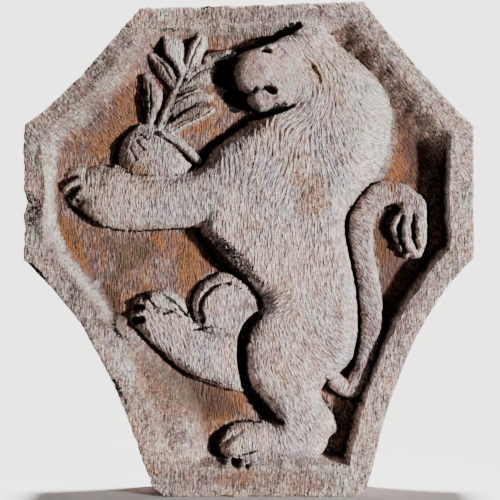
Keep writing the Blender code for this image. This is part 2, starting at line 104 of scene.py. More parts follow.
def smooth_spine(stations: tuple, steps: int = 6) -> np.ndarray:
    """Draws a smooth line through stations.

    Args:
        stations: Rows of numbers, the first two of them a place.
        steps: Points for each span between two stations.

    Returns:
        The rows of the smooth line.
    """
    points = np.array(stations, float)
    ends = np.vstack((2 * points[0] - points[1], points, 2 * points[-1] - points[-2]))
    t = np.linspace(0, 1, steps, endpoint=False)[:, None]
    spans = []
    for before, start, end, after in zip(ends, ends[1:], ends[2:], ends[3:]):
        spans.append(
            start + 0.5 * t * (end - before)
            + t ** 2 * (before - 2.5 * start + 2 * end - 0.5 * after)
            + t ** 3 * (1.5 * (start - end) + 0.5 * (after - before))
        )
    return np.vstack(spans + [points[-1:]])


def melt(low: np.ndarray, high: np.ndarray, blend: float) -> np.ndarray:
    """Takes the higher of two heights and rounds the crease where they meet on the stone.

    Args:
        low: One height.
        high: The other height.
        blend: How near the two heights come before they melt.

    Returns:
        The joined height.
    """
    meeting = np.clip(1 - np.abs(low - high) / blend, 0, 1)
    rooted = np.clip(np.minimum(low, high) / blend, 0, 1)
    return np.maximum(low, high) + blend / 4 * meeting ** 2 * rooted


@dataclass(frozen=True)
class Form:
    """A swelling of the figure, or a cut into it, along a spine.

    Each station is (x, z, half width, height) in figure units. The edge rolls over within the width roll,
    and fullness 0.5 gives a quarter round while 1 gives a soft slope.
    """

    stations: tuple
    roll: float = 5.0
    fullness: float = 0.6
    crown_fall: float = 0.08

    def height(self, x: np.ndarray, z: np.ndarray) -> np.ndarray:
        """Gives the form's height.

        Args:
            x: Places across, in figure units.
            z: Places up, in figure units.

        Returns:
            The height at each place, in figure units.
        """
        spine = smooth_spine(self.stations)
        reach = spine[:, 2].max()
        near = np.nonzero(
            (x > spine[:, 0].min() - reach) & (x < spine[:, 0].max() + reach)
            & (z > spine[:, 1].min() - reach) & (z < spine[:, 1].max() + reach)
        )
        height = np.zeros(x.shape)
        distance, (half_width, crest) = nearest_on_line(x[near], z[near], spine)
        inside = np.clip((half_width - distance) / np.minimum(self.roll, half_width), 0, 1)
        crown = 1 - self.crown_fall * np.clip(distance / half_width, 0, 1) ** 2
        height[near] = crest * crown * (1 - (1 - inside) ** 2) ** self.fullness
        return height


@dataclass(frozen=True)
class Trunk:
    """An upright mass between two contours.

    Each station is (z, left, right, height) in figure units, from the top down. The left flank falls away
    softly and the right edge is rounder, each within its own roll.
    """

    stations: tuple
    left_roll: float
    right_roll: float
    left_fullness: float = 0.95
    right_fullness: float = 0.6
    crown_fall: float = 0.12

    def height(self, x: np.ndarray, z: np.ndarray) -> np.ndarray:
        """Gives the mass's height.

        Args:
            x: Places across, in figure units.
            z: Places up, in figure units.

        Returns:
            The height at each place, in figure units.
        """
        level, left, right, crest = smooth_spine(self.stations)[::-1].T
        lean_left, lean_right = np.gradient(left, level), np.gradient(right, level)
        from_left = (x - np.interp(z, level, left)) / np.hypot(1, np.interp(z, level, lean_left))
        from_right = (np.interp(z, level, right) - x) / np.hypot(1, np.interp(z, level, lean_right))
        from_end = np.minimum(z - level[0], level[-1] - z)
        soft = np.clip(from_left / self.left_roll, 0, 1)
        round_side = np.clip(np.minimum(from_right, from_end) / self.right_roll, 0, 1)
        left_fall = (1 - (1 - soft) ** 2) ** self.left_fullness
        right_fall = (1 - (1 - round_side) ** 2) ** self.right_fullness
        off_middle = np.abs(from_right - from_left) / np.maximum(from_right + from_left, 1e-6)
        crown = 1 - self.crown_fall * (np.clip(off_middle, 0, 1) ** 2 - 1 / 3)
        return np.interp(z, level, crest) * left_fall * right_fall * crown


@dataclass(frozen=True)
class Group:
    """Forms that melt into each other within the height blend, in figure units."""

    blend: float
    forms: tuple

    def height(self, x: np.ndarray, z: np.ndarray) -> np.ndarray:
        """Gives the group's height.

        Args:
            x: Places across, in figure units.
            z: Places up, in figure units.

        Returns:
            The height at each place, in figure units.
        """
        height = np.zeros(x.shape)
        for form in self.forms:
            height = melt(height, form.height(x, z), self.blend)
        return height


@dataclass
class Raster:
    """A regular grid of cells over the shield's face, on which layers of numbers are worked out."""

    width: float
    height: float
    cell: float = 0.0011
    x: np.ndarray = field(init=False)
    z: np.ndarray = field(init=False)

    def __post_init__(self) -> None:
        """Lays out the cells."""
        across = np.arange(-self.width / 2, self.width / 2 + self.cell, self.cell)
        up = np.arange(-self.height / 2, self.height / 2 + self.cell, self.cell)
        self.x, self.z = np.meshgrid(across, up)

    def pick(self, layer: np.ndarray, row: np.ndarray, column: np.ndarray) -> np.ndarray:
        """Reads a layer between its cells.

        Args:
            layer: The layer.
            row: Rows, with their fractions.
            column: Columns, with their fractions.

        Returns:
            The layer's value at each place.
        """
        row = np.clip(row, 0, layer.shape[0] - 1.001)
        column = np.clip(column, 0, layer.shape[1] - 1.001)
        low_row, low_column = row.astype(int), column.astype(int)
        up, across = row - low_row, column - low_column
        below = layer[low_row, low_column] * (1 - across) + layer[low_row, low_column + 1] * across
        above = layer[low_row + 1, low_column] * (1 - across) + layer[low_row + 1, low_column + 1] * across
        return below * (1 - up) + above * up

    def sample(self, layer: np.ndarray, x: np.ndarray, z: np.ndarray) -> np.ndarray:
        """Reads a layer at places in metres.

        Args:
            layer: The layer.
            x: Places across.
            z: Places up.

        Returns:
            The layer's value at each place.
        """
        return self.pick(layer, (z - self.z[0, 0]) / self.cell, (x - self.x[0, 0]) / self.cell)

    def waves(self) -> np.ndarray:
        """Gives the number of waves per metre of each term of a layer's spectrum."""
        rows, columns = self.x.shape
        up, across = np.fft.fftfreq(rows, self.cell), np.fft.rfftfreq(columns, self.cell)
        return np.hypot(up[:, None], across[None, :])

    def grain(self, seed: int, pitch: float, spread: float = 0.35) -> np.ndarray:
        """Makes noise of one pitch.

        Args:
            seed: The noise's seed.
            pitch: The usual distance from crest to crest.
            spread: How far the pitch varies, as a share.

        Returns:
            A layer with a mean of 0 and a spread of 1.
        """
        white = np.random.default_rng(seed).standard_normal(self.x.shape)
        band = np.exp(-((self.waves() * pitch - 1) / spread) ** 2)
        layer = np.fft.irfft2(np.fft.rfft2(white) * band, s=self.x.shape)
        return layer / layer.std()

    def cloud(self, seed: int, size: float, roughness: float = 1.0) -> np.ndarray:
        """Makes noise of all pitches up to a size.

        Args:
            seed: The noise's seed.
            size: The broadest pitch.
            roughness: How much the finer pitches show; 1 is usual and less is rougher.

        Returns:
            A layer with a mean of 0 and a spread of 1.
        """
        white = np.random.default_rng(seed).standard_normal(self.x.shape)
        band = 1 / (1 + (self.waves() * size) ** 2) ** roughness
        layer = np.fft.irfft2(np.fft.rfft2(white) * band, s=self.x.shape)
        layer -= layer.mean()
        return layer / layer.std()

    def soften(self, layer: np.ndarray, radius: float) -> np.ndarray:
        """Blurs a layer.

        Args:
            layer: The layer.
            radius: The blur's radius.

        Returns:
            The blurred layer.
        """
        band = np.exp(-2 * (math.pi * radius * self.waves()) ** 2)
        return np.fft.irfft2(np.fft.rfft2(layer) * band, s=layer.shape)

    def comb(self, layer: np.ndarray, angle: np.ndarray, length: float) -> np.ndarray:
        """Draws a layer out into strokes.

        Args:
            layer: The layer.
            angle: The angle at which the strokes lie in each cell.
            length: The length of a stroke.

        Returns:
            The combed layer, with a spread of 1.
        """
        along_x, along_z = np.cos(angle), np.sin(angle)
        rows, columns = layer.shape
        total = layer.copy()
        for way in (1, -1):
            row, column = np.mgrid[0:rows, 0:columns].astype(float)
            run_x, run_z = way * along_x, way * along_z
            for _ in range(round(length / 2 / self.cell)):
                row += run_z
                column += run_x
                total += self.pick(layer, row, column)
                here = np.clip(row, 0, rows - 1).astype(int), np.clip(column, 0, columns - 1).astype(int)
                next_x, next_z = along_x[here], along_z[here]
                turn = np.where(next_x * run_x + next_z * run_z < 0, -1, 1)
                run_x, run_z = next_x * turn, next_z * turn
        return total / total.std()


@dataclass(frozen=True)
class Strokes:
    """The angles at which tool strokes lie: anchors of (x, z, degrees) in figure units."""

    anchors: tuple
    softness: float = 2.0

    def angle(self, x: np.ndarray, z: np.ndarray) -> np.ndarray:
        """Gives the strokes' angle.

        Args:
            x: Places across, in figure units.
            z: Places up, in figure units.

        Returns:
            The angle at each place, in radians, where a half turn makes no difference.
        """
        double_x, double_z = np.zeros(x.shape), np.zeros(x.shape)
        for anchor_x, anchor_z, degrees in self.anchors:
            weight = 1 / ((x - anchor_x) ** 2 + (z - anchor_z) ** 2 + self.softness) ** 1.5
            double_x += weight * math.cos(math.radians(2 * degrees))
            double_z += weight * math.sin(math.radians(2 * degrees))
        return np.arctan2(double_z, double_x) / 2


@dataclass
class ShieldOutline:
    """The shield's edge and its rim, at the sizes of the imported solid."""

    height: float = 0.700
    width: float = 0.637
    top_width: float = 0.317
    top_shift: float = 0.0035
    top_fall: float = 0.009
    corner_width: float = 0.023
    corner_drop: float = 0.028
    shoulder_drop_left: float = 0.174
    shoulder_drop_right: float = 0.176
    side_length_left: float = 0.193
    side_length_right: float = 0.187
    upper_bend_left: float = 0.014
    upper_bend_left_at: float = 0.32
    upper_bend_right: float = 0.008
    lower_bend: float = 0.058
    lower_bend_at: float = 0.38
    foot_width: float = 0.304
    foot_shift: float = 0.016
    foot_corner: float = 0.012
    foot_corner_reach: float = 0.048
    field_depth: float = 0.043
    rims: dict = field(default_factory=lambda: {
        Side.TOP: (0.026, 0.018),
        Side.UPPER_RIGHT: (0.024, 0.050),
        Side.RIGHT: (0.034, 0.005),
        Side.LOWER_RIGHT: (0.033, 0.010),
        Side.FOOT: (0.041, 0.016),
        Side.LOWER_LEFT: (0.031, 0.024),
        Side.LEFT: (0.028, 0.018),
        Side.UPPER_LEFT: (0.026, 0.028),
    })

    @staticmethod
    def curve(start: tuple, end: tuple, bend: float = 0.0, bend_at: float = 0.5) -> np.ndarray:
        """Draws one side.

        Args:
            start: Its first (x, z).
            end: Its last (x, z).
            bend: How far it is pulled to the right of its straight line.
            bend_at: The share of its length at which it is pulled.

        Returns:
            The rows of (x, z) along it.
        """
        start, end = np.array(start), np.array(end)
        along = end - start
        aside = np.array((along[1], -along[0])) / np.hypot(*along)
        pull = start + along * bend_at + aside * bend
        t = np.linspace(0, 1, 17)[:, None]
        return (1 - t) ** 2 * start + 2 * t * (1 - t) * pull + t ** 2 * end

    def sides(self) -> dict:
        """Lays out the eight sides.

        Returns:
            Each side's line of (x, z) rows, clockwise.
        """
        top, foot, side = self.height / 2, -self.height / 2, self.width / 2
        top_left = (self.top_shift - self.top_width / 2, top - self.top_fall)
        top_right = (self.top_shift + self.top_width / 2, top)
        clipped = (top_left[0] - self.corner_width, top_left[1] - self.corner_drop)
        shoulder_left = (-side, top - self.shoulder_drop_left)
        shoulder_right = (side, top - self.shoulder_drop_right)
        hip_left = (-side, shoulder_left[1] - self.side_length_left)
        hip_right = (side, shoulder_right[1] - self.side_length_right)
        foot_left = (self.foot_shift - self.foot_width / 2, foot)
        foot_right = (self.foot_shift + self.foot_width / 2, foot)
        slope = self.curve(shoulder_left, clipped, self.upper_bend_left, self.upper_bend_left_at)
        return {
            Side.TOP: self.curve(top_left, top_right),
            Side.UPPER_RIGHT: self.curve(top_right, shoulder_right, self.upper_bend_right),
            Side.RIGHT: self.curve(shoulder_right, hip_right),
            Side.LOWER_RIGHT: self.curve(hip_right, foot_right, self.lower_bend, self.lower_bend_at),
            Side.FOOT: self.curve(foot_right, foot_left),
            Side.LOWER_LEFT: self.curve(foot_left, hip_left, self.lower_bend, 1 - self.lower_bend_at),
            Side.LEFT: self.curve(hip_left, shoulder_left),
            Side.UPPER_LEFT: np.vstack((slope, self.curve(clipped, top_left)[1:])),
        }

    def rim(self, x: np.ndarray, z: np.ndarray, waver: np.ndarray) -> tuple[np.ndarray, np.ndarray]:
        """Gives the rim's height.

        Args:
            x: Places across.
            z: Places up.
            waver: How far the worn inner edge stands in or out at each place.

        Returns:
            The height over the field at each place, and the distance to the shield's edge.
        """
        height = np.zeros(x.shape)
        edge = np.full(x.shape, np.inf)
        for side, line in self.sides().items():
            flat, slope = self.rims[side]
            distance, _ = nearest_on_line(x, z, line)
            edge = np.minimum(edge, distance)
            fall = np.clip((distance + waver - flat) / slope, 0, 1)
            height = np.maximum(height, self.field_depth * (1 - fall * fall * (3 - 2 * fall)))
        return height, edge

    def place(self, u: np.ndarray, v: np.ndarray) -> tuple[np.ndarray, np.ndarray]:
        """Spreads shares of the width and height over the shield.

        Args:
            u: Shares across.
            v: Shares up.

        Returns:
            The places across and up.
        """
        sides = self.sides()
        right = (sides[Side.UPPER_RIGHT], sides[Side.RIGHT][1:], sides[Side.LOWER_RIGHT][1:])
        right = np.vstack(right)[::-1]
        left = np.vstack((sides[Side.LOWER_LEFT], sides[Side.LEFT][1:], sides[Side.UPPER_LEFT][1:]))
        foot = -self.height / 2
        level = foot + v * self.height
        left_level = foot + v * (self.height - self.top_fall)
        left_x = np.interp(left_level, left[:, 1], left[:, 0])
        right_x = np.interp(level, right[:, 1], right[:, 0])
        x = left_x + u * (right_x - left_x)
        z = left_level + u * (level - left_level)
        corner = np.clip(1 - np.minimum(u, 1 - u) * self.foot_width / (2 * self.foot_corner), 0, 1) ** 2
        low = np.clip(1 - v * self.height / self.foot_corner_reach, 0, 1)
        return x, z + self.foot_corner * corner * low


@dataclass
class LionRelief:
    """The rampant lion with its quince, laid out in figure units."""

    figure_height: float = 0.630
    units_tall: float = 90.0
    layers: dict = field(default_factory=lambda: {
        Carving.BRANCH: Group(0.3, (
            Form(((-20.7, 35.3, 1.0, 1.8), (-19.7, 31.0, 2.1, 2.4), (-20.3, 26.4, 1.2, 2.2)), 1.4),
            Form(((-18.4, 24.4, 1.0, 2.6), (-16.2, 29.4, 1.0, 2.4), (-14.0, 34.5, 0.8, 2.2)), 1.0),
            Form(((-19.9, 39.7, 0.8, 1.6), (-17.4, 37.3, 1.6, 2.0), (-15.0, 33.3, 1.2, 2.0)), 1.2),
            Form((
                (-17.0, 43.0, 0.8, 2.6), (-15.2, 40.9, 2.3, 3.4),
                (-14.2, 38.2, 1.5, 3.2), (-13.6, 35.7, 0.9, 2.6),
            ), 1.0),
            Form(((-8.8, 44.6, 0.6, 2.6), (-10.6, 40.9, 2.0, 3.1), (-13.0, 35.3, 0.9, 2.4)), 1.4),
            Form(((-6.2, 37.3, 0.8, 1.9), (-9.4, 35.9, 2.2, 2.3), (-13.2, 33.0, 1.6, 2.2)), 1.6, 0.8),
            Form(((-8.2, 31.0, 0.9, 1.7), (-11.4, 30.8, 2.6, 2.1), (-15.4, 28.6, 1.6, 2.2)), 1.6, 0.8),
            Form(((-7.4, 28.5, 0.6, 1.8), (-11.8, 27.4, 2.2, 2.1), (-16.4, 24.6, 1.3, 2.3)), 1.2, 0.7),
            Form(((-7.3, 28.2, 0.35, 2.4), (-11.8, 25.8, 0.4, 2.7), (-16.4, 23.6, 0.4, 2.6)), 0.4),
            Form(((-3.4, 39.8, 1.1, 5.6), (-4.8, 39.7, 1.2, 5.0), (-8.4, 38.8, 1.0, 2.4)), 0.9),
            Form(((-17.6, 23.5, 0.9, 4.4), (-14.0, 21.4, 1.0, 4.4), (-10.4, 18.0, 0.9, 4.3)), 0.6),
        )),
        Carving.QUINCE: Group(0.8, (
            Form(((-19.9, 18.9, 7.0, 4.1), (-17.8, 18.3, 6.2, 4.1)), 6.0, 0.5),
        )),
        Carving.TAIL: Group(0.4, (
            Form((
                (17.8, -27.2, 1.8, 3.0), (20.9, -28.4, 2.2, 3.4), (23.5, -25.4, 2.3, 3.5),
                (24.9, -19.4, 2.4, 3.6), (25.3, -13.5, 2.4, 3.6), (24.5, -7.5, 2.4, 3.5),
                (23.3, -1.0, 2.3, 3.3), (22.9, 4.2, 2.4, 3.1), (24.1, 8.5, 2.5, 3.0),
                (27.3, 11.1, 2.5, 3.2), (30.9, 11.3, 2.4, 3.4), (33.6, 9.3, 2.4, 3.6),
            ), 1.5, 0.5),
            Form((
                (31.8, 7.5, 0.9, 3.4), (29.7, 4.6, 0.8, 3.0), (30.7, 1.4, 0.9, 3.0), (32.6, -1.2, 0.7, 2.4),
            ), 0.8),
            Form((
                (32.6, 8.7, 1.8, 3.8), (32.3, 4.6, 1.6, 3.8), (32.9, 1.0, 1.4, 3.6), (33.8, -1.2, 1.0, 2.8),
            ), 1.0),
            Form((
                (34.8, 8.7, 1.9, 3.8), (35.1, 5.0, 1.5, 3.8), (35.2, 1.8, 1.4, 3.6), (34.6, -1.0, 1.1, 2.8),
            ), 1.0),
        )),
        Carving.FAR_LEG: Group(0.5, (
            Form((
                (-19.9, -13.3, 4.4, 3.7), (-15.0, -17.9, 5.0, 4.1), (-9.0, -21.6, 5.2, 4.3),
                (-2.1, -23.6, 5.6, 4.2),
            ), 2.6),
            Form(((-18.8, -11.4, 3.0, 3.6), (-16.4, -11.8, 3.0, 3.7), (-14.0, -14.6, 2.4, 3.7)), 1.4, 0.5),
            Form(((-4.5, -12.1, 7.2, 3.4), (-1.7, -18.3, 6.0, 3.6)), 3.4, 0.55),
        )),
        Carving.BODY: Group(1.0, (
            Trunk((
                (14.0, -7.0, 20.5, 6.2), (9.0, -9.5, 20.6, 6.3), (4.2, -10.2, 19.8, 6.3),
                (-0.4, -7.6, 20.6, 6.2), (-5.0, -3.6, 21.4, 6.0), (-9.2, 1.4, 22.2, 5.8),
                (-12.1, 2.0, 22.5, 5.8), (-14.6, -0.4, 22.6, 6.0), (-18.2, -2.3, 22.4, 6.3),
                (-22.4, -2.4, 21.2, 6.1), (-25.8, -1.8, 18.2, 5.8), (-28.5, 0.2, 15.2, 5.5),
                (-31.2, 2.6, 15.4, 5.3), (-34.0, 4.4, 17.6, 5.2), (-37.0, 4.0, 18.0, 5.1),
                (-40.0, 2.4, 15.6, 5.2), (-43.2, 2.0, 14.6, 5.0),
            ), 4.2, 3.6, 0.8),
            Form((
                (12.4, -38.8, 4.2, 5.0), (6.4, -39.2, 4.3, 5.2),
                (0.2, -39.3, 4.2, 5.3), (-2.6, -39.7, 3.9, 5.0),
            ), 3.8, 0.7),
            Form((
                (2.0, 11.4, 7.6, 6.2), (-5.0, 11.4, 7.2, 6.0),
                (-12.4, 9.9, 5.8, 5.6), (-21.9, 9.5, 5.6, 5.4),
                (-28.0, 10.8, 6.7, 5.0), (-31.6, 12.0, 5.6, 3.9), (-34.0, 12.7, 4.1, 3.0),
            ), 3.8, 0.65),
            Form((
                (14.0, 40.1, 5.2, 6.5), (16.6, 32.6, 10.3, 7.0), (17.7, 27.2, 11.7, 7.1),
                (17.6, 20.4, 10.3, 6.9), (14.6, 14.0, 8.8, 6.4),
            ), 7.0, 0.7),
            Form((
                (8.8, 26.4, 6.0, 6.5), (3.9, 20.6, 6.7, 6.6),
                (-0.9, 16.5, 7.5, 6.4), (-4.9, 13.0, 6.5, 5.9),
            ), 4.6, 0.75),
            Form(((10.4, 22.0, 8.1, 6.8), (7.4, 14.9, 9.1, 6.4)), 7.0, 0.8),
        )),
        Carving.HEAD: Group(0.8, (
            Form(((11.6, 39.8, 5.0, 7.0), (5.9, 38.0, 5.2, 7.0), (1.2, 36.2, 4.9, 6.6)), 2.8, 0.5),
            Form(((0.8, 36.2, 4.4, 7.0), (2.6, 35.6, 4.2, 7.0)), 3.6, 0.5),
            Form(((6.6, 33.4, 5.4, 7.0), (10.8, 33.6, 5.8, 7.3)), 4.2, 0.55),
            Form(((8.0, 30.9, 3.2, 6.4), (2.8, 30.7, 3.0, 6.2)), 2.0, 0.5),
            Form(((10.4, 44.0, 1.8, 6.4), (14.0, 43.0, 2.6, 6.6)), 1.8),
        )),
    })
    worn_ground: Group = Group(1.5, (
        Form((
            (-25.0, -20.0, 4.5, 4.6), (-20.5, -27.5, 6.5, 4.4), (-17.0, -34.5, 7.5, 4.2),
            (-16.0, -42.0, 8.0, 4.8),
        ), 6.5, 1.0),
    ))
    cuts: tuple = (
        # The channel between the head and the rim
        Form(((10.2, 45.3, 0.7, 3.6), (6.1, 43.2, 0.8, 4.8), (-1.7, 40.6, 0.9, 4.8)), 0.7, 0.5),
        # Drilled mouth, the line under the jaw, the eye and its lids, and the crease of the ear
        Form(((4.8, 32.0, 0.85, 3.6), (4.0, 32.4, 0.75, 3.4), (3.2, 32.8, 0.4, 2.0)), 0.5, 0.5),
        Form(((1.4, 32.5, 0.4, 1.8), (1.2, 31.9, 0.4, 1.8)), 0.3, 0.5),
        Form(((2.6, 31.0, 0.3, 0.5), (4.2, 30.2, 0.3, 0.6), (5.8, 30.6, 0.3, 0.4)), 0.3, 0.5),
        Form(((9.0, 28.8, 0.5, 1.6), (5.6, 27.9, 0.7, 3.0), (0.8, 26.9, 0.8, 3.4)), 0.7, 0.5),
        Form(((3.2, 40.0, 0.5, 1.8), (4.0, 39.8, 0.5, 1.6)), 0.4, 0.5),
        Form(((4.4, 40.0, 0.25, 0.4), (5.8, 40.6, 0.3, 0.6), (7.4, 39.6, 0.25, 0.4)), 0.3, 0.5),
        Form(((4.4, 39.3, 0.25, 0.4), (5.8, 38.5, 0.3, 0.5), (7.4, 39.2, 0.25, 0.3)), 0.3, 0.5),
        Form(((10.8, 38.1, 0.5, 0.5), (13.2, 36.2, 0.7, 0.6), (14.8, 32.2, 0.4, 0.3)), 0.7, 0.8),
        # Toes of the raised paw
        Form(((-35.6, 17.2, 0.3, 1.4), (-38.4, 15.6, 0.5, 2.6)), 0.5, 0.5),
        Form(((-35.2, 14.7, 0.4, 1.8), (-36.8, 14.2, 0.7, 2.8), (-38.6, 13.2, 0.9, 3.6)), 0.6, 0.5),
        Form(((-34.6, 12.5, 0.6, 2.2), (-36.0, 11.5, 1.1, 3.4), (-37.6, 9.8, 1.1, 3.8)), 0.8, 0.5),
        Form(((-33.6, 9.6, 0.4, 1.4), (-35.6, 8.2, 0.6, 2.2)), 0.6, 0.5),
        # Toes and the broken edge of the far paw
        Form(((-20.1, -9.7, 0.4, 1.4), (-21.2, -10.1, 0.5, 1.8)), 0.4, 0.5),
        Form(((-21.7, -11.9, 0.7, 2.2), (-22.9, -12.1, 0.9, 2.6)), 0.5, 0.5),
        Form(((-21.9, -14.5, 0.9, 2.4), (-23.0, -14.7, 1.1, 2.8)), 0.7, 0.5),
        Form(((-21.4, -9.2, 0.6, 2.2), (-21.0, -9.3, 0.6, 2.2)), 0.5, 0.5),
        Form((
            (-20.6, -9.8, 0.2, 0.7), (-18.8, -11.9, 0.3, 1.0),
            (-16.4, -12.4, 0.25, 0.8), (-14.0, -13.6, 0.3, 0.9),
        ), 0.3, 0.5),
        Form(((-17.6, -9.4, 0.25, 0.9), (-14.8, -11.2, 0.3, 1.0), (-12.4, -14.6, 0.4, 1.2)), 0.3, 0.5),
        # The deep line left of the near thigh
        Form((
            (1.6, -13.6, 0.7, 2.6), (-0.4, -15.9, 1.0, 3.4),
            (-1.3, -19.4, 1.2, 3.8), (-1.3, -23.4, 1.2, 3.8),
            (-0.6, -27.6, 1.2, 3.4),
        ), 0.8, 0.5),
        # Toes of the near foot
        Form(((-2.2, -43.4, 0.8, 2.6), (-3.0, -43.2, 0.8, 2.6)), 0.6, 0.5),
        Form(((-0.4, -43.9, 0.5, 2.0), (-0.2, -43.9, 0.5, 2.0)), 0.4, 0.5),
        Form(((-2.4, -42.2, 0.3, 0.9), (-0.2, -41.6, 0.3, 0.9), (1.6, -41.0, 0.3, 0.6)), 0.3, 0.5),
        Form(((-1.6, -37.2, 0.5, 0.5), (-3.8, -38.4, 0.7, 0.8), (-5.4, -40.4, 0.7, 0.8)), 0.7, 1.0),
        # Crease inside the edge of the far knee, and between the knee and the far leg
        Form((
            (-9.2, -14.7, 0.6, 0.9), (-9.7, -11.1, 0.6, 1.1),
            (-7.4, -8.1, 0.6, 1.1), (-4.1, -7.3, 0.5, 0.8),
        ), 0.5, 0.5),
        Form(((-10.4, -16.5, 0.7, 1.6), (-8.2, -17.3, 0.6, 1.2), (-4.8, -17.6, 0.5, 0.7)), 0.6, 0.5),
        # Hollows between the locks of the tail's tuft
        Form(((30.2, 7.9, 0.9, 2.6), (28.0, 4.7, 1.2, 2.8), (30.0, 0.9, 0.8, 2.6)), 1.0, 0.5),
        Form(((31.6, 6.2, 0.5, 2.6), (30.8, 3.2, 0.6, 3.0), (32.0, -0.6, 0.5, 2.4)), 0.5, 0.5),
        Form(((33.9, 6.9, 0.6, 1.2), (33.5, 3.8, 0.7, 1.5), (34.3, 0.2, 0.5, 1.3)), 0.5, 0.6),
        # Veins of the leaves and the cuts of the quince
        Form(((-20.4, 34.0, 0.2, 0.5), (-19.9, 30.5, 0.25, 0.8), (-20.2, 27.0, 0.2, 0.5)), 0.2),
        Form(((-19.4, 39.2, 0.2, 0.4), (-17.4, 37.3, 0.25, 0.8), (-15.2, 33.8, 0.2, 0.5)), 0.2),
        Form(((-9.2, 43.8, 0.2, 0.4), (-10.8, 40.5, 0.25, 0.8), (-12.8, 36.0, 0.2, 0.5)), 0.2),
        Form(((-7.0, 37.2, 0.2, 0.4), (-9.6, 36.3, 0.25, 0.8), (-12.6, 33.8, 0.2, 0.5)), 0.2),
        Form(((-8.4, 32.4, 0.2, 0.4), (-11.6, 31.9, 0.25, 0.8), (-15.2, 29.6, 0.2, 0.5)), 0.2),
        Form(((-8.6, 29.8, 0.25, 0.5), (-12.0, 28.9, 0.3, 1.0), (-16.0, 26.0, 0.25, 0.6)), 0.25),
        Form(((-10.4, 27.6, 0.2, 0.4), (-13.0, 26.4, 0.25, 0.7), (-16.0, 25.0, 0.2, 0.4)), 0.2),
        Form(((-9.6, 33.6, 0.25, 0.5), (-12.4, 32.4, 0.4, 1.0), (-15.0, 31.0, 0.25, 0.5)), 0.3),
        Form(((-22.4, 23.6, 0.3, 0.5), (-20.8, 22.3, 0.3, 0.8)), 0.3),
        Form(((-22.9, 21.9, 0.3, 0.5), (-21.3, 20.0, 0.3, 0.8)), 0.3),
        Form(((-24.0, 20.5, 0.3, 0.4), (-22.8, 18.2, 0.3, 0.7)), 0.3),
    )
    fur: Strokes = Strokes((
        # Cheek, mane, back and chest
        (12.5, 39.0, -36), (15.4, 36.0, -62), (15.8, 32.0, -90), (13.6, 28.6, -118), (10.4, 26.2, -150),
        (11.0, 35.5, -45), (12.6, 32.0, -87), (11.2, 29.0, -124), (8.6, 27.4, -160),
        (20.5, 37.5, -50), (24.5, 32.5, -40), (27.4, 27.0, -14), (27.6, 22.0, -6), (24.5, 15.5, -30),
        (20.5, 31.0, -62), (20.0, 24.5, -62), (17.0, 18.0, -66), (14.0, 22.5, -84), (10.0, 19.5, -96),
        (4.5, 22.5, -84), (-2.5, 19.5, -80), (1.5, 15.5, -112), (8.0, 13.5, -112), (5.0, 35.0, -60),
        # Foreleg and trunk
        (-33.0, 13.0, 90), (-26.0, 10.0, 90), (-18.0, 9.5, 90), (-10.0, 9.0, 88), (-2.0, 8.0, 92),
        (4.0, 4.0, 90), (12.0, 4.0, 92), (18.0, 3.0, 96),
        (2.0, -3.0, 84), (10.0, -5.0, 92), (18.0, -5.0, 100),
        # Thigh, shin and foot
        (6.5, -11.5, 30), (8.0, -17.0, 105), (13.0, -14.0, 118), (18.5, -14.0, 130), (20.0, -20.0, 150),
        (14.0, -21.0, 128), (5.0, -21.0, 95), (9.0, -27.0, 122), (9.5, -33.0, 126), (13.0, -36.0, 120),
        (3.0, -39.0, 95), (-4.0, -39.0, 80),
    ))
    far_leg_fur: Strokes = Strokes((
        (-20.0, -13.0, 110), (-14.0, -18.0, 105), (-7.0, -21.0, 92), (-4.0, -12.0, 95),
    ))
    tail_fur: Strokes = Strokes((
        (21.0, -28.0, 60), (24.5, -18.0, 128), (24.0, -5.0, 125), (24.0, 8.0, 150), (29.0, 12.0, 95),
        (34.0, 8.0, 100),
    ))
    ground_lay: float = 88.0
    slope_lay: float = -52.0
    quince_strokes: Strokes = Strokes((
        (-23.5, 19.0, 70), (-20.0, 19.0, 80), (-15.0, 17.0, 100), (-18.0, 13.0, 80),
    ))
    face_heart: tuple = (3.6, 35.4)
    face_reach: tuple = (7.6, 7.0)
    mane_heart: tuple = (14.0, 25.5)
    mane_reach: tuple = (17.0, 19.5)
    chest_heart: tuple = (0.0, 18.5)
    chest_reach: tuple = (11.0, 8.0)

    @property
    def unit(self) -> float:
        """One figure unit in metres."""
        return self.figure_height / self.units_tall

    def heights(self, x: np.ndarray, z: np.ndarray, rim: np.ndarray) -> tuple[np.ndarray, np.ndarray]:
        """Gives the carving's height over the field.

        Args:
            x: Places across.
            z: Places up.
            rim: The rim's height at each place.

        Returns:
            The height at each place, and the number of the carved part that shows there.
        """
        figure_x, figure_z = x / self.unit, z / self.unit
        height = melt(rim, self.unit * self.worn_ground.height(figure_x, figure_z), self.unit) / self.unit
        part = np.zeros(x.shape, int)
        for carving, group in self.layers.items():
            rise = group.height(figure_x, figure_z)
            part = np.where(rise > height, carving.value, part)
            height = np.maximum(height, rise)
        for cut in self.cuts:
            height = height - cut.height(figure_x, figure_z)
        return np.maximum(self.unit * height, 0), part

    def mane(self, x: np.ndarray, z: np.ndarray) -> np.ndarray:
        """Finds the combed mane and chest.

        Args:
            x: Places across.
            z: Places up.

        Returns:
            The share, from 0 to 1, to which each place belongs to them.
        """
        figure_x, figure_z = x / self.unit, z / self.unit
        share = np.zeros(x.shape)
        for heart, reach in ((self.mane_heart, self.mane_reach), (self.chest_heart, self.chest_reach)):
            out = np.hypot((figure_x - heart[0]) / reach[0], (figure_z - heart[1]) / reach[1])
            share = np.maximum(share, np.clip((1.0 - out) / 0.2, 0, 1))
        return share * (1 - self.muzzle(x, z))

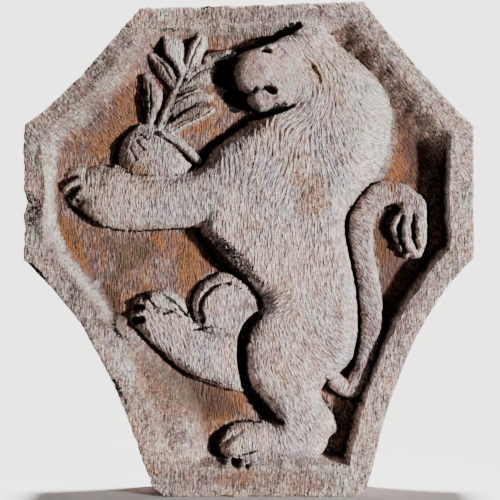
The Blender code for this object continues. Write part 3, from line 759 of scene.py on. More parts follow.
    def muzzle(self, x: np.ndarray, z: np.ndarray) -> np.ndarray:
        """Finds the smooth muzzle and cheek.

        Args:
            x: Places across.
            z: Places up.

        Returns:
            The share, from 0 to 1, to which each place belongs to them.
        """
        figure_x, figure_z = x / self.unit, z / self.unit
        out = np.hypot((figure_x - self.face_heart[0]) / self.face_reach[0],
                       (figure_z - self.face_heart[1]) / self.face_reach[1])
        return np.clip((1.2 - out) / 0.3, 0, 1)

    def stroke_angle(self, x: np.ndarray, z: np.ndarray, part: np.ndarray) -> np.ndarray:
        """Gives the angle of the tool strokes.

        Args:
            x: Places across.
            z: Places up.
            part: The number of the carved part at each place.

        Returns:
            The angle at each place, in radians.
        """
        figure_x, figure_z = x / self.unit, z / self.unit
        angle = self.fur.angle(figure_x, figure_z)
        others = ((Carving.TAIL, self.tail_fur), (Carving.FAR_LEG, self.far_leg_fur),
                  (Carving.QUINCE, self.quince_strokes))
        for carving, strokes in others:
            angle = np.where(part == carving.value, strokes.angle(figure_x, figure_z), angle)
        plain = (part == Carving.GROUND.value) | (part == Carving.BRANCH.value)
        sloping = (figure_x < -24) & (figure_z > 20) | (figure_x > 12) & (figure_z > 12)
        lay = np.where(sloping, math.radians(self.slope_lay), math.radians(self.ground_lay))
        return np.where(plain, lay, angle)


@dataclass(frozen=True)
class Stains:
    """Dirt, ochre, olive growth and fresh breaks, with painted shadow along the contours and painted
    highlights on lit edges: spots of (x, z, half width, strength) in figure units.
    """

    # Painted shadow along the left and lower contours, under the jaw, in the channel above the head and in
    # the gaps between toes and locks, with a few dark marks on the rim and its worn edge
    crust_and_shadow_lines: tuple = (
        # Painted cast shadow of the muzzle on the ground at its left
        Form((
            (-3.4, 38.6, 1.4, 0.9), (-5.6, 36.4, 2.4, 1),
            (-4.8, 33.0, 2.0, 1), (-2.6, 29.4, 1.8, 1),
        ), 1.2),
        Form((
            (10.1, 45.8, 0.24, 1), (7.8, 44.6, 0.65, 1), (4.7, 42.9, 0.40, 1), (1.5, 42.0, 0.34, 1),
            (-1.5, 41.1, 0.34, 1), (-3.1, 39.9, 0.60, 1),
        ), 0.30),
        Form((
            (-2.5, 38.5, 0.71, 1), (-3.3, 36.5, 0.81, 1), (-3.3, 34.1, 0.81, 1), (-2.1, 31.2, 0.91, 1),
            (-0.5, 28.4, 0.81, 1),
        ), 0.60),
        Form((
            (-0.1, 27.0, 0.40, 1), (2.7, 27.4, 0.36, 1), (4.7, 28.2, 0.50, 0.9), (7.2, 29.2, 0.81, 0.6),
        ), 0.40),
        Form((
            (-10.4, 16.5, 0.30, 1), (-9.2, 19.6, 0.81, 1), (-6.1, 22.2, 1.01, 0.9),
            (-2.5, 24.6, 0.81, 0.9), (0.3, 26.6, 0.50, 1), (2.7, 27.2, 0.30, 1),
        ), 0.60),
        Form((
            (-37.4, 9.9, 0.30, 0.9), (-36.6, 8.7, 0.44, 1), (-33.4, 6.6, 0.44, 1), (-28.3, 4.2, 0.32, 1),
            (-23.3, 3.6, 0.26, 1), (-19.5, 3.9, 0.24, 1), (-11.6, 4.3, 0.26, 1),
        ), 0.20),
        Form((
            (-36.6, 17.0, 0.16, 0.7), (-35.6, 17.6, 0.18, 0.7), (-32.4, 17.8, 0.16, 0.6),
            (-28.5, 17.1, 0.20, 0.9), (-25.5, 15.9, 0.24, 1), (-21.5, 15.1, 0.22, 0.8),
            (-14.2, 15.2, 0.20, 0.8), (-10.4, 16.3, 0.28, 1),
        ), 0.20),
        Form(((-37.6, 16.0, 0.16, 0.8), (-36.0, 17.0, 0.16, 0.8)), 0.20),
        Form(((-38.2, 13.5, 0.40, 0.9), (-36.6, 14.3, 0.30, 0.9), (-35.4, 14.7, 0.18, 0.9)), 0.20),
        Form(((-37.6, 10.3, 0.50, 1), (-36.2, 11.5, 0.50, 1), (-34.8, 12.3, 0.22, 0.9)), 0.30),
        Form(((-35.0, 9.9, 0.52, 1), (-34.9, 9.8, 0.52, 1)), 0.20),
        Form((
            (-28.0, 16.9, 0.44, 1), (-27.3, 19.2, 0.65, 1), (-26.5, 21.4, 0.65, 1),
            (-25.1, 23.4, 0.52, 1), (-23.3, 25.0, 0.36, 0.9), (-21.7, 25.8, 0.24, 0.7),
        ), 0.30),
        Form(((-22.3, 23.4, 0.18, 0.8), (-20.7, 22.2, 0.18, 0.9)), 0.16),
        Form(((-22.9, 21.8, 0.18, 0.8), (-21.3, 20.0, 0.20, 0.9)), 0.16),
        Form(((-24.3, 22.8, 0.18, 0.7), (-23.3, 21.2, 0.16, 0.8)), 0.16),
        Form((
            (-19.9, 41.5, 0.30, 0.9), (-18.4, 40.1, 0.48, 1), (-16.2, 37.9, 0.52, 1),
            (-14.4, 36.1, 0.30, 1),
        ), 0.24),
        Form((
            (-9.8, 44.4, 0.18, 0.9), (-12.2, 42.3, 0.36, 1), (-12.8, 40.7, 0.40, 1),
            (-13.3, 37.7, 0.26, 1),
        ), 0.20),
        Form((
            (-22.5, 34.7, 0.30, 0.9), (-21.5, 32.5, 0.71, 0.9), (-20.9, 29.6, 0.71, 0.9),
            (-21.3, 26.4, 0.50, 0.9),
        ), 0.40),
        Form((
            (-20.3, 37.7, 0.18, 0.8), (-19.3, 35.9, 0.22, 0.9), (-17.6, 34.3, 0.24, 0.9),
            (-16.6, 32.9, 0.20, 0.8),
        ), 0.20),
        Form(((-13.6, 34.1, 0.22, 1), (-11.8, 36.5, 0.18, 0.9), (-9.8, 38.5, 0.18, 0.8)), 0.20),
        Form(((-17.4, 25.4, 0.22, 0.9), (-15.4, 28.6, 0.20, 0.8), (-12.4, 30.8, 0.18, 0.7)), 0.20),
        Form(((-16.2, 25.8, 0.32, 0.8), (-12.4, 28.4, 0.48, 0.7), (-9.4, 30.2, 0.28, 0.6)), 0.30),
        Form(((-15.2, 31.2, 0.28, 0.8), (-12.4, 32.9, 0.32, 0.6), (-10.0, 33.3, 0.24, 0.5)), 0.30),
        Form((
            (-17.6, 23.4, 0.18, 1), (-15.4, 21.0, 0.20, 1), (-12.4, 18.3, 0.22, 1),
            (-10.7, 17.5, 0.18, 1),
        ), 0.16),
        Form((
            (-11.4, 4.6, 0.32, 1), (-9.8, 2.4, 0.91, 1), (-7.4, -0.2, 1.21, 1), (-4.5, -3.4, 1.21, 1),
            (-1.7, -5.4, 1.01, 1), (0.9, -8.5, 0.73, 1), (2.7, -11.9, 0.60, 1),
        ), 0.60),
        Form((
            (-8.6, 3.4, 1.21, 0.5), (-4.5, 0.2, 1.81, 0.6), (-0.9, -3.0, 1.61, 0.55),
            (2.7, -7.3, 1.01, 0.5),
        ), 1.21),
        Form((
            (2.7, -13.7, 0.60, 0.9), (0.5, -15.7, 0.81, 0.9), (-0.9, -19.4, 1.01, 1),
            (-1.3, -23.4, 1.09, 1), (-0.7, -27.4, 1.09, 1), (1.1, -30.6, 1.61, 1), (3.7, -33.5, 1.41, 1),
            (6.8, -35.3, 0.60, 1),
        ), 0.60),
        Form((
            (2.7, -35.5, 0.22, 0.9), (-1.1, -35.3, 0.26, 0.9), (-3.5, -35.9, 0.52, 1),
            (-5.9, -37.9, 1.01, 1), (-7.0, -40.1, 1.21, 1), (-6.1, -42.3, 1.01, 1),
            (-4.9, -43.3, 0.60, 1),
        ), 0.40),
        Form(((-2.5, -43.5, 0.81, 1), (-2.4, -43.6, 0.81, 1)), 0.30),
        Form(((-0.3, -43.8, 0.44, 1), (-0.2, -43.9, 0.44, 1)), 0.20),
        Form(((-2.3, -42.3, 0.18, 0.9), (1.3, -41.1, 0.18, 0.9)), 0.16),
        Form((
            (-23.4, -14.6, 0.8, 0.55), (-23.4, -12.6, 0.9, 0.5),
            (-22.4, -10.2, 0.9, 0.5), (-20.6, -9.0, 0.7, 0.5),
        ), 0.7),
        Form((
            (-28.2, -9.0, 0.3, 0.5), (-27.3, -12.9, 0.4, 0.6),
            (-26.8, -16.5, 0.6, 0.7), (-24.6, -18.4, 0.4, 0.6),
        ), 0.5),
        Form(((-21.3, -9.1, 0.48, 1), (-19.1, -11.3, 0.20, 0.9)), 0.20),
        Form(((-23.2, -12.0, 0.7, 0.9), (-21.8, -11.9, 0.6, 0.9)), 0.40),
        Form(((-27.2, -7.4, 0.4, 0.42), (-26.6, -11.0, 0.5, 0.46), (-26.9, -14.6, 0.4, 0.42)), 0.50),
        Form(((-23.2, -14.6, 0.9, 1), (-22.0, -14.6, 0.8, 1)), 0.50),
        Form((
            (-23.4, -16.3, 0.30, 0.9), (-22.1, -17.7, 0.36, 0.9), (-17.5, -21.6, 0.60, 1),
            (-14.6, -24.4, 0.36, 1), (-11.6, -25.8, 0.30, 1), (-9.2, -26.4, 0.26, 0.9),
            (-4.5, -27.8, 0.20, 0.8),
        ), 0.24),
        Form(((-17.8, -19.8, 1.2, 0.36), (-14.2, -22.6, 1.2, 0.36), (-9.8, -25.4, 0.9, 0.34)), 1.2),
        Form(((5.6, 28.9, 1.4, 0.36), (9.0, 29.4, 1.6, 0.36)), 1.4),
        Form(((-17.0, -10.1, 0.18, 0.9), (-14.0, -11.7, 0.20, 0.9), (-11.0, -15.1, 0.20, 0.9)), 0.16),
        Form((
            (-19.7, -11.7, 0.18, 0.9), (-16.9, -13.1, 0.20, 0.9), (-14.2, -12.3, 0.18, 0.9),
            (-12.2, -13.9, 0.18, 0.9),
        ), 0.16),
        Form((
            (-10.8, -16.5, 0.56, 0.9), (-8.6, -16.1, 0.36, 0.9), (-6.4, -15.7, 0.32, 0.8),
            (-3.9, -17.5, 0.22, 0.7),
        ), 0.30),
        Form((
            (-6.4, -4.8, 0.22, 0.9), (-9.8, -6.9, 0.32, 1), (-11.6, -9.5, 0.32, 1),
            (-11.9, -11.3, 0.26, 1), (-11.0, -14.5, 0.22, 0.9),
        ), 0.20),
        Form((
            (-1.5, -8.1, 0.26, 0.8), (-4.2, -6.9, 0.26, 1), (-7.5, -8.1, 0.46, 1),
            (-9.2, -10.7, 0.40, 1), (-10.1, -12.8, 0.32, 1), (-9.2, -15.9, 0.26, 1),
        ), 0.30),
        Form((
            (24.9, 12.7, 0.22, 0.7), (21.7, 9.5, 0.32, 1), (20.2, 6.5, 0.32, 1), (20.0, 4.0, 0.26, 1),
            (20.9, 0.4, 0.20, 0.9), (21.7, -4.0, 0.20, 0.9), (22.4, -9.5, 0.20, 0.9),
            (22.7, -14.9, 0.20, 0.9), (22.7, -18.5, 0.26, 1), (21.7, -22.6, 0.36, 1),
            (20.4, -25.0, 0.32, 1),
        ), 0.16),
        Form((
            (15.8, -26.2, 0.32, 1), (16.6, -28.6, 0.42, 1), (18.6, -30.4, 0.32, 1),
            (20.9, -31.2, 0.24, 1), (23.1, -30.8, 0.28, 1),
        ), 0.24),
        Form((
            (14.4, -27.2, 0.16, 0.9), (14.4, -29.0, 0.16, 0.9), (16.2, -32.0, 0.18, 0.9),
            (17.6, -34.9, 0.18, 0.9), (16.8, -37.7, 0.16, 0.9),
        ), 0.12),
        Form((
            (29.9, 8.1, 0.20, 1), (28.1, 6.5, 0.52, 1), (27.8, 4.2, 0.60, 1), (28.9, 2.2, 0.50, 0.9),
            (30.7, 0.6, 0.22, 1), (32.2, -0.9, 0.18, 1),
        ), 0.20),
        Form((
            (31.4, 6.5, 0.22, 1), (30.6, 4.6, 0.38, 1), (30.6, 2.8, 0.38, 1), (31.8, 0.6, 0.22, 1),
        ), 0.20),
        Form(((34.0, 6.9, 0.24, 0.8), (33.3, 4.6, 0.44, 0.8), (34.0, 2.4, 0.30, 0.8)), 0.20),
        Form(((-44.0, 11.0, 1.6, 0.5), (-43.2, 7.9, 2.0, 0.55), (-43.8, 4.8, 1.6, 0.5)), 1.6),
        Form(((-44.3, -3.0, 0.60, 1), (-42.8, -4.4, 0.60, 1), (-41.4, -5.8, 0.48, 0.9)), 0.40),
        Form(((-27.3, -26.4, 0.5, 0.7), (-25.9, -28.8, 0.6, 0.7), (-24.7, -31.2, 0.4, 0.6)), 0.60),
        Form(((-8.8, 48.8, 0.32, 0.9), (-7.2, 49.1, 0.44, 1), (-5.5, 49.2, 0.30, 0.9)), 0.30),
        Form(((-20.3, 44.6, 0.18, 0.8), (-16.8, 44.5, 0.20, 0.9), (-13.6, 44.6, 0.18, 0.7)), 0.16),
        Form(((-35.0, 25.6, 0.18, 0.8), (-33.6, 25.2, 0.20, 0.8), (-32.4, 25.6, 0.16, 0.7)), 0.16),
        Form(((2.7, 32.2, 0.36, 1), (5.3, 32.5, 0.36, 1)), 0.40),
        Form(((1.3, 32.3, 0.36, 0.9), (1.4, 32.2, 0.36, 0.9)), 0.20),
        Form(((2.9, 39.9, 0.40, 1), (4.3, 39.9, 0.32, 1)), 0.30),
    )
    brown_film: tuple = (
        Form((
            (-41.6, 26.0, 0.8, 0.6), (-42.4, 16.0, 0.8, 0.7),
            (-42.4, 6.0, 1.0, 0.8), (-39.6, -2.4, 1.0, 0.6),
            (-33.6, -9.6, 0.8, 0.6), (-29.6, -14.6, 0.8, 0.6),
        ), 0.8),
        Form((
            (-29.4, -7.6, 1.0, 0.8), (-27.6, -12.0, 1.1, 1),
            (-26.4, -16.8, 1.0, 0.9), (-24.8, -19.0, 0.6, 0.6),
        ), 0.7),
        Form(((-22.0, -20.0, 2.6, 0.7), (-18.5, -25.0, 3.4, 0.9), (-13.5, -29.5, 3.6, 0.9)), 2.4),
        Form(((-20.6, -30.4, 2.0, 0.6), (-18.2, -36.0, 2.0, 0.7), (-12.0, -38.0, 2.0, 0.5)), 1.6),
        Form((
            (-39.8, 22.0, 1.0, 0.5), (-39.8, 10.0, 1.2, 0.6),
            (-37.6, 0.0, 1.6, 0.7), (-33.4, -7.0, 1.8, 0.7),
            (-29.0, -13.0, 1.6, 0.7), (-26.0, -19.0, 1.4, 0.5),
        ), 0.8),
        Form(((-40.0, 8.0, 0.8, 0.9), (-39.4, 5.2, 0.8, 0.9)), 0.6),
        Form(((-37.0, -1.4, 0.9, 0.9), (-35.8, -3.2, 0.8, 0.9)), 0.6),
        Form(((-33.4, -7.0, 0.9, 0.9), (-32.2, -8.6, 0.8, 0.9)), 0.6),
        Form(((-29.6, -12.4, 0.9, 0.9), (-28.6, -14.6, 0.8, 0.9)), 0.6),
        Form(((-27.8, 36.2, 2.0, 0.8), (-24.4, 38.8, 2.2, 0.9), (-20.6, 42.4, 1.6, 0.7)), 1.2),
        Form(((33.4, 20.0, 3.4, 0.7), (34.0, 8.0, 2.0, 0.7)), 1.6),
        Form(((-19.9, 34.0, 1.8, 0.8), (-19.6, 31.0, 2.2, 0.9), (-19.8, 27.0, 1.6, 0.8)), 1.2),
        Form(((-19.2, 38.8, 1.2, 0.8), (-17.0, 36.6, 1.8, 0.9), (-15.0, 33.5, 1.4, 0.8)), 1.2),
        Form(((-7.0, 36.8, 1.4, 0.7), (-12.6, 33.0, 1.8, 0.9), (-15.6, 28.4, 1.6, 0.9)), 1.2),
        Form(((-8.6, 29.6, 1.8, 0.9), (-14.4, 27.4, 2.0, 0.9)), 1.4),
        Form(((-22.6, 17.6, 5.0, 0.8), (-19.8, 19.0, 6.0, 0.6), (-14.0, 17.5, 4.0, 0.4)), 3.0),
        Form((
            (22.0, -28.0, 2.4, 0.5), (24.4, -20.0, 2.6, 0.6), (24.0, -8.0, 2.6, 0.8), (22.6, 2.0, 2.8, 0.9),
            (23.6, 8.8, 3.0, 0.9),
            (27.4, 11.6, 3.0, 0.9), (32.4, 10.8, 3.0, 0.8), (34.6, 6.0, 2.6, 0.6),
        ), 1.6),
        Form(((33.8, 6.0, 1.0, 0.9), (33.4, 3.6, 1.2, 0.9), (34.0, 1.0, 1.0, 0.9)), 0.8),
        Form((
            (20.0, 45.0, 3.0, 0.6), (25.0, 39.6, 3.0, 0.9),
            (30.6, 33.0, 3.0, 0.9), (34.0, 28.4, 2.0, 0.7),
        ), 2.0),
        Form((
            (39.0, -1.0, 2.4, 0.7), (33.0, -9.0, 2.6, 0.9),
            (28.6, -17.0, 2.2, 0.8), (24.0, -27.0, 1.8, 0.7),
        ), 1.6),
        Form((
            (-23.0, -24.0, 3.0, 0.4), (-17.0, -29.5, 5.0, 0.7),
            (-9.0, -31.5, 4.5, 0.8), (-4.0, -32.0, 3.0, 0.6),
        ), 4.0),
        Form((
            (-19.0, -46.4, 2.6, 0.6), (-9.0, -46.0, 3.2, 0.8),
            (4.0, -46.6, 3.0, 0.8), (16.0, -46.8, 2.6, 0.6),
        ), 2.2),
        Form(((-12.0, 47.2, 1.6, 0.6), (2.0, 47.0, 2.0, 0.7), (16.0, 47.6, 2.0, 0.5)), 1.6),
        Form(((-24.5, 41.5, 3.2, 0.6), (-31.0, 34.0, 3.6, 0.7), (-38.0, 26.5, 3.0, 0.5)), 3.0),
        Form(((-1.0, 37.0, 3.0, 0.7), (0.2, 33.6, 2.6, 0.7), (3.0, 30.0, 2.6, 0.6)), 2.4),
        Form(((31.5, 27.0, 3.5, 0.9), (33.0, 20.0, 4.0, 1), (31.5, 13.5, 3.4, 0.9)), 2.0),
        Form(((28.6, 3.0, 3.4, 0.6), (30.0, -6.0, 3.0, 0.7), (28.0, -16.0, 2.4, 0.8)), 2.0),
        Form(((0.6, -13.0, 3.0, 0.7), (1.6, -17.0, 3.0, 0.6), (1.4, -24.0, 2.6, 0.6)), 2.6),
        Form(((1.0, 33.4, 2.2, 0.5), (0.6, 37.0, 2.2, 0.5), (4.0, 30.6, 2.4, 0.7)), 2.0),
    )
    ochre_stains: tuple = (
        Form(((-38.9, 3.2, 0.6, 0.8), (-38.0, 1.0, 0.6, 0.8)), 0.4),
        Form(((-35.4, -4.8, 0.6, 0.8), (-34.4, -6.2, 0.6, 0.8)), 0.4),
        Form(((-31.6, -9.8, 0.6, 0.9), (-30.8, -10.8, 0.6, 0.8)), 0.4),
        Form(((-40.2, 14.0, 0.5, 0.7), (-40.2, 12.0, 0.5, 0.8)), 0.4),
        Form(((-23.0, -22.0, 2.0, 0.5), (-20.0, -28.0, 2.6, 0.6), (-14.0, -33.0, 2.6, 0.5)), 2.0),
        Form(((9.6, 14.3, 1.8, 0.8), (13.4, 11.4, 3.4, 1), (12.4, 8.0, 2.8, 1)), 1.4),
        Form((
            (11.0, 38.1, 0.50, 0.8), (12.8, 36.5, 0.90, 1), (14.4, 34.1, 0.60, 1),
            (14.8, 32.1, 0.40, 0.8),
        ), 0.40),
        Form(((-5.3, -46.2, 1.61, 0.7), (-0.7, -45.8, 1.81, 0.8), (2.7, -46.2, 1.41, 0.6)), 1.21),
        Form(((8.4, -48.2, 1.21, 0.6), (14.0, -47.8, 1.21, 0.6)), 1.01),
        Form(((-3.7, -18.3, 0.81, 0.8), (-2.5, -20.8, 0.60, 0.6)), 0.81),
        Form(((4.9, -22.6, 0.60, 0.6), (7.4, -25.8, 0.81, 0.7), (10.4, -29.0, 0.71, 0.6)), 0.60),
        Form(((-37.2, 4.8, 1.61, 0.7), (-35.6, 0.2, 2.42, 0.9), (-33.2, -3.8, 1.61, 0.8)), 2.02),
        Form((
            (-17.8, 1.8, 2.02, 0.8), (-13.4, 1.0, 2.82, 1), (-10.6, -2.6, 2.42, 0.9),
            (-13.0, -6.7, 1.61, 0.8),
        ), 2.42),
        Form((
            (-27.5, 31.7, 1.61, 0.8), (-24.3, 29.2, 2.42, 1), (-27.5, 24.4, 3.23, 0.8),
            (-31.6, 21.6, 2.42, 0.7),
        ), 2.42),
        Form(((-14.6, 24.4, 1.21, 0.9), (-10.6, 25.6, 1.81, 1), (-8.8, 28.0, 1.21, 0.8)), 1.21),
        Form(((-4.1, -30.8, 1.21, 0.8), (-1.7, -32.5, 1.61, 0.9)), 1.61),
        Form(((30.9, 22.0, 1.61, 0.7), (30.5, 16.9, 1.81, 0.9), (28.9, 12.3, 1.61, 0.8)), 2.02),
        Form(((-25.9, -43.8, 1.01, 0.6), (-16.8, -44.6, 1.21, 0.6)), 1.01),
        Form(((-23.4, 16.4, 1.6, 0.6), (-20.8, 14.8, 1.6, 0.6)), 1.4),
        Form(((-20.3, -39.5, 0.81, 0.5), (-19.5, -44.6, 1.01, 0.6)), 0.81),
    )
    olive_stains: tuple = (
        Form(((-38.0, -0.4, 0.5, 0.6), (-36.6, -2.4, 0.5, 0.6)), 0.4),
        Form(((-21.0, -23.5, 1.6, 0.6), (-17.5, -26.5, 2.2, 0.7), (-12.0, -27.0, 1.6, 0.5)), 1.2),
        Form((
            (-27.5, 1.0, 2.02, 0.8), (-24.3, -1.4, 2.82, 1), (-25.9, -5.4, 2.02, 0.9),
            (-28.3, -8.7, 1.01, 0.8),
        ), 1.61),
        Form(((-22.7, -2.6, 1.21, 0.8), (-20.3, -0.2, 1.61, 0.8)), 1.01),
        Form(((-27.5, 38.1, 1.21, 0.8), (-25.7, 36.9, 1.21, 0.8)), 1.01),
        Form(((-34.0, 30.4, 1.21, 0.7), (-31.6, 29.6, 1.41, 0.7)), 1.01),
        Form(((-28.5, -10.3, 0.71, 0.9), (-27.3, -13.9, 0.60, 0.9), (-26.5, -17.1, 0.50, 0.8)), 0.60),
        Form(((-15.8, -29.6, 2.02, 0.7), (-10.6, -30.8, 2.42, 0.7)), 1.61),
        Form(((-15.0, 29.6, 1.6, 0.8), (-11.6, 30.8, 2.6, 0.8), (-8.6, 31.4, 1.6, 0.6)), 1.2),
        Form(((-13.4, 33.6, 1.4, 0.7), (-9.6, 35.8, 2.0, 0.7), (-7.0, 37.0, 1.0, 0.5)), 1.2),
        Form(((-16.0, 25.6, 1.0, 0.7), (-12.0, 27.6, 1.8, 0.7), (-8.8, 28.8, 1.0, 0.6)), 1.0),
        Form(((-20.4, 34.6, 1.2, 0.6), (-19.8, 31.0, 1.8, 0.6), (-20.0, 27.0, 1.4, 0.6)), 1.2),
        Form(((-19.6, 39.2, 1.0, 0.7), (-17.4, 37.3, 1.6, 0.7), (-15.2, 33.6, 1.2, 0.6)), 1.2),
        Form(((20.1, 42.1, 1.21, 0.7), (21.7, 39.7, 1.21, 0.7), (24.9, 36.9, 1.01, 0.6)), 1.01),
        Form(((-36.0, -11.5, 1.01, 0.5), (-33.6, -12.7, 0.81, 0.5)), 0.81),
    )
    pale_patches_and_highlights: tuple = (
        Form(((-14.2, -11.3, 0.81, 1), (-12.6, -13.3, 0.81, 1), (-11.2, -15.3, 0.40, 1)), 0.40),
        Form((
            (-39.6, 23.0, 0.4, 0.7), (-40.0, 16.9, 0.6, 0.9), (-40.2, 9.9, 0.6, 0.8),
            (-39.8, 4.2, 0.9, 0.9), (-37.4, -1.4, 0.9, 0.8), (-33.8, -6.2, 0.8, 0.7),
            (-30.0, -10.9, 0.6, 0.6), (-28.0, -13.9, 0.5, 0.5),
        ), 0.4),
        Form(((-26.6, -21.0, 1.2, 0.8), (-24.9, -24.4, 1.4, 0.9), (-23.9, -28.0, 1.0, 0.7)), 0.5),
        Form(((2.0, 27.9, 0.3, 1), (4.6, 28.8, 0.3, 1)), 0.2),
        Form((
            (-16.6, 42.6, 0.9, 1), (-15.2, 40.7, 2.1, 1), (-14.4, 38.3, 1.3, 1), (-13.8, 36.3, 0.6, 1),
        ), 0.50),
        Form(((-4.1, 39.7, 1.11, 0.9), (-4.0, 39.6, 1.11, 0.9)), 0.50),
        Form(((-10.2, 43.3, 0.60, 0.6), (-9.8, 41.7, 1.21, 0.6), (-11.2, 38.9, 0.81, 0.5)), 0.40),
        Form(((-12.0, 33.7, 0.24, 0.9), (-7.2, 36.1, 0.24, 0.9)), 0.20),
        Form(((-16.0, 23.8, 0.24, 0.9), (-11.8, 25.8, 0.26, 0.9), (-7.2, 28.2, 0.26, 0.9)), 0.20),
        Form(((-15.2, 29.2, 0.20, 0.8), (-11.8, 30.6, 0.22, 0.8), (-8.0, 30.6, 0.20, 0.7)), 0.20),
        # Painted highlight on the lit spot of the muzzle
        Form(((-2.1, 39.1, 0.36, 1), (-2.0, 39.0, 0.36, 1)), 0.20),
        Form(((12.8, 45.4, 1.61, 0.6), (15.4, 44.6, 1.41, 0.5)), 1.21),
        Form((
            (22.0, 34.0, 4.0, 0.5), (25.5, 27.0, 5.0, 0.6),
            (24.5, 18.5, 5.0, 0.6), (20.0, 12.0, 3.0, 0.4),
        ), 4.0),
        # Painted highlight along the tail's right edge, which faces the light
        Form((
            (27.6, -16.3, 0.25, 0.9), (27.6, -13.1, 0.25, 0.9),
            (26.8, -8.3, 0.25, 1), (25.6, -1.0, 0.25, 1),
            (25.2, 3.0, 0.25, 0.9), (25.7, 6.0, 0.2, 0.8),
        ), 0.20),
        # Painted highlight along the body's right edge, which faces the light
        Form((
            (19.8, 3.0, 0.3, 0.7), (20.6, -3.0, 0.3, 0.7),
            (21.6, -10.0, 0.3, 0.7), (21.8, -16.0, 0.3, 0.6),
        ), 0.3),
        Form((
            (30.9, 6.2, 0.20, 1), (29.6, 4.2, 0.20, 1), (30.7, 1.6, 0.20, 1), (32.2, -0.2, 0.20, 1),
        ), 0.20),
        Form(((12.4, -41.5, 1.61, 0.5), (16.4, -40.1, 1.21, 0.5)), 1.21),
        Form(((-3.3, -38.5, 1.41, 0.5), (-1.7, -39.7, 1.21, 0.5)), 0.60),
    )

    @staticmethod
    def layer(spots: tuple, x: np.ndarray, z: np.ndarray) -> np.ndarray:
        """Lays one kind of stain.

        Args:
            spots: Its spots.
            x: Places across, in figure units.
            z: Places up, in figure units.

        Returns:
            The share of the stain at each place.
        """
        share = np.zeros(x.shape)
        for spot in spots:
            share = np.maximum(share, np.clip(1.3 * spot.height(x, z), 0, 1))
        return share


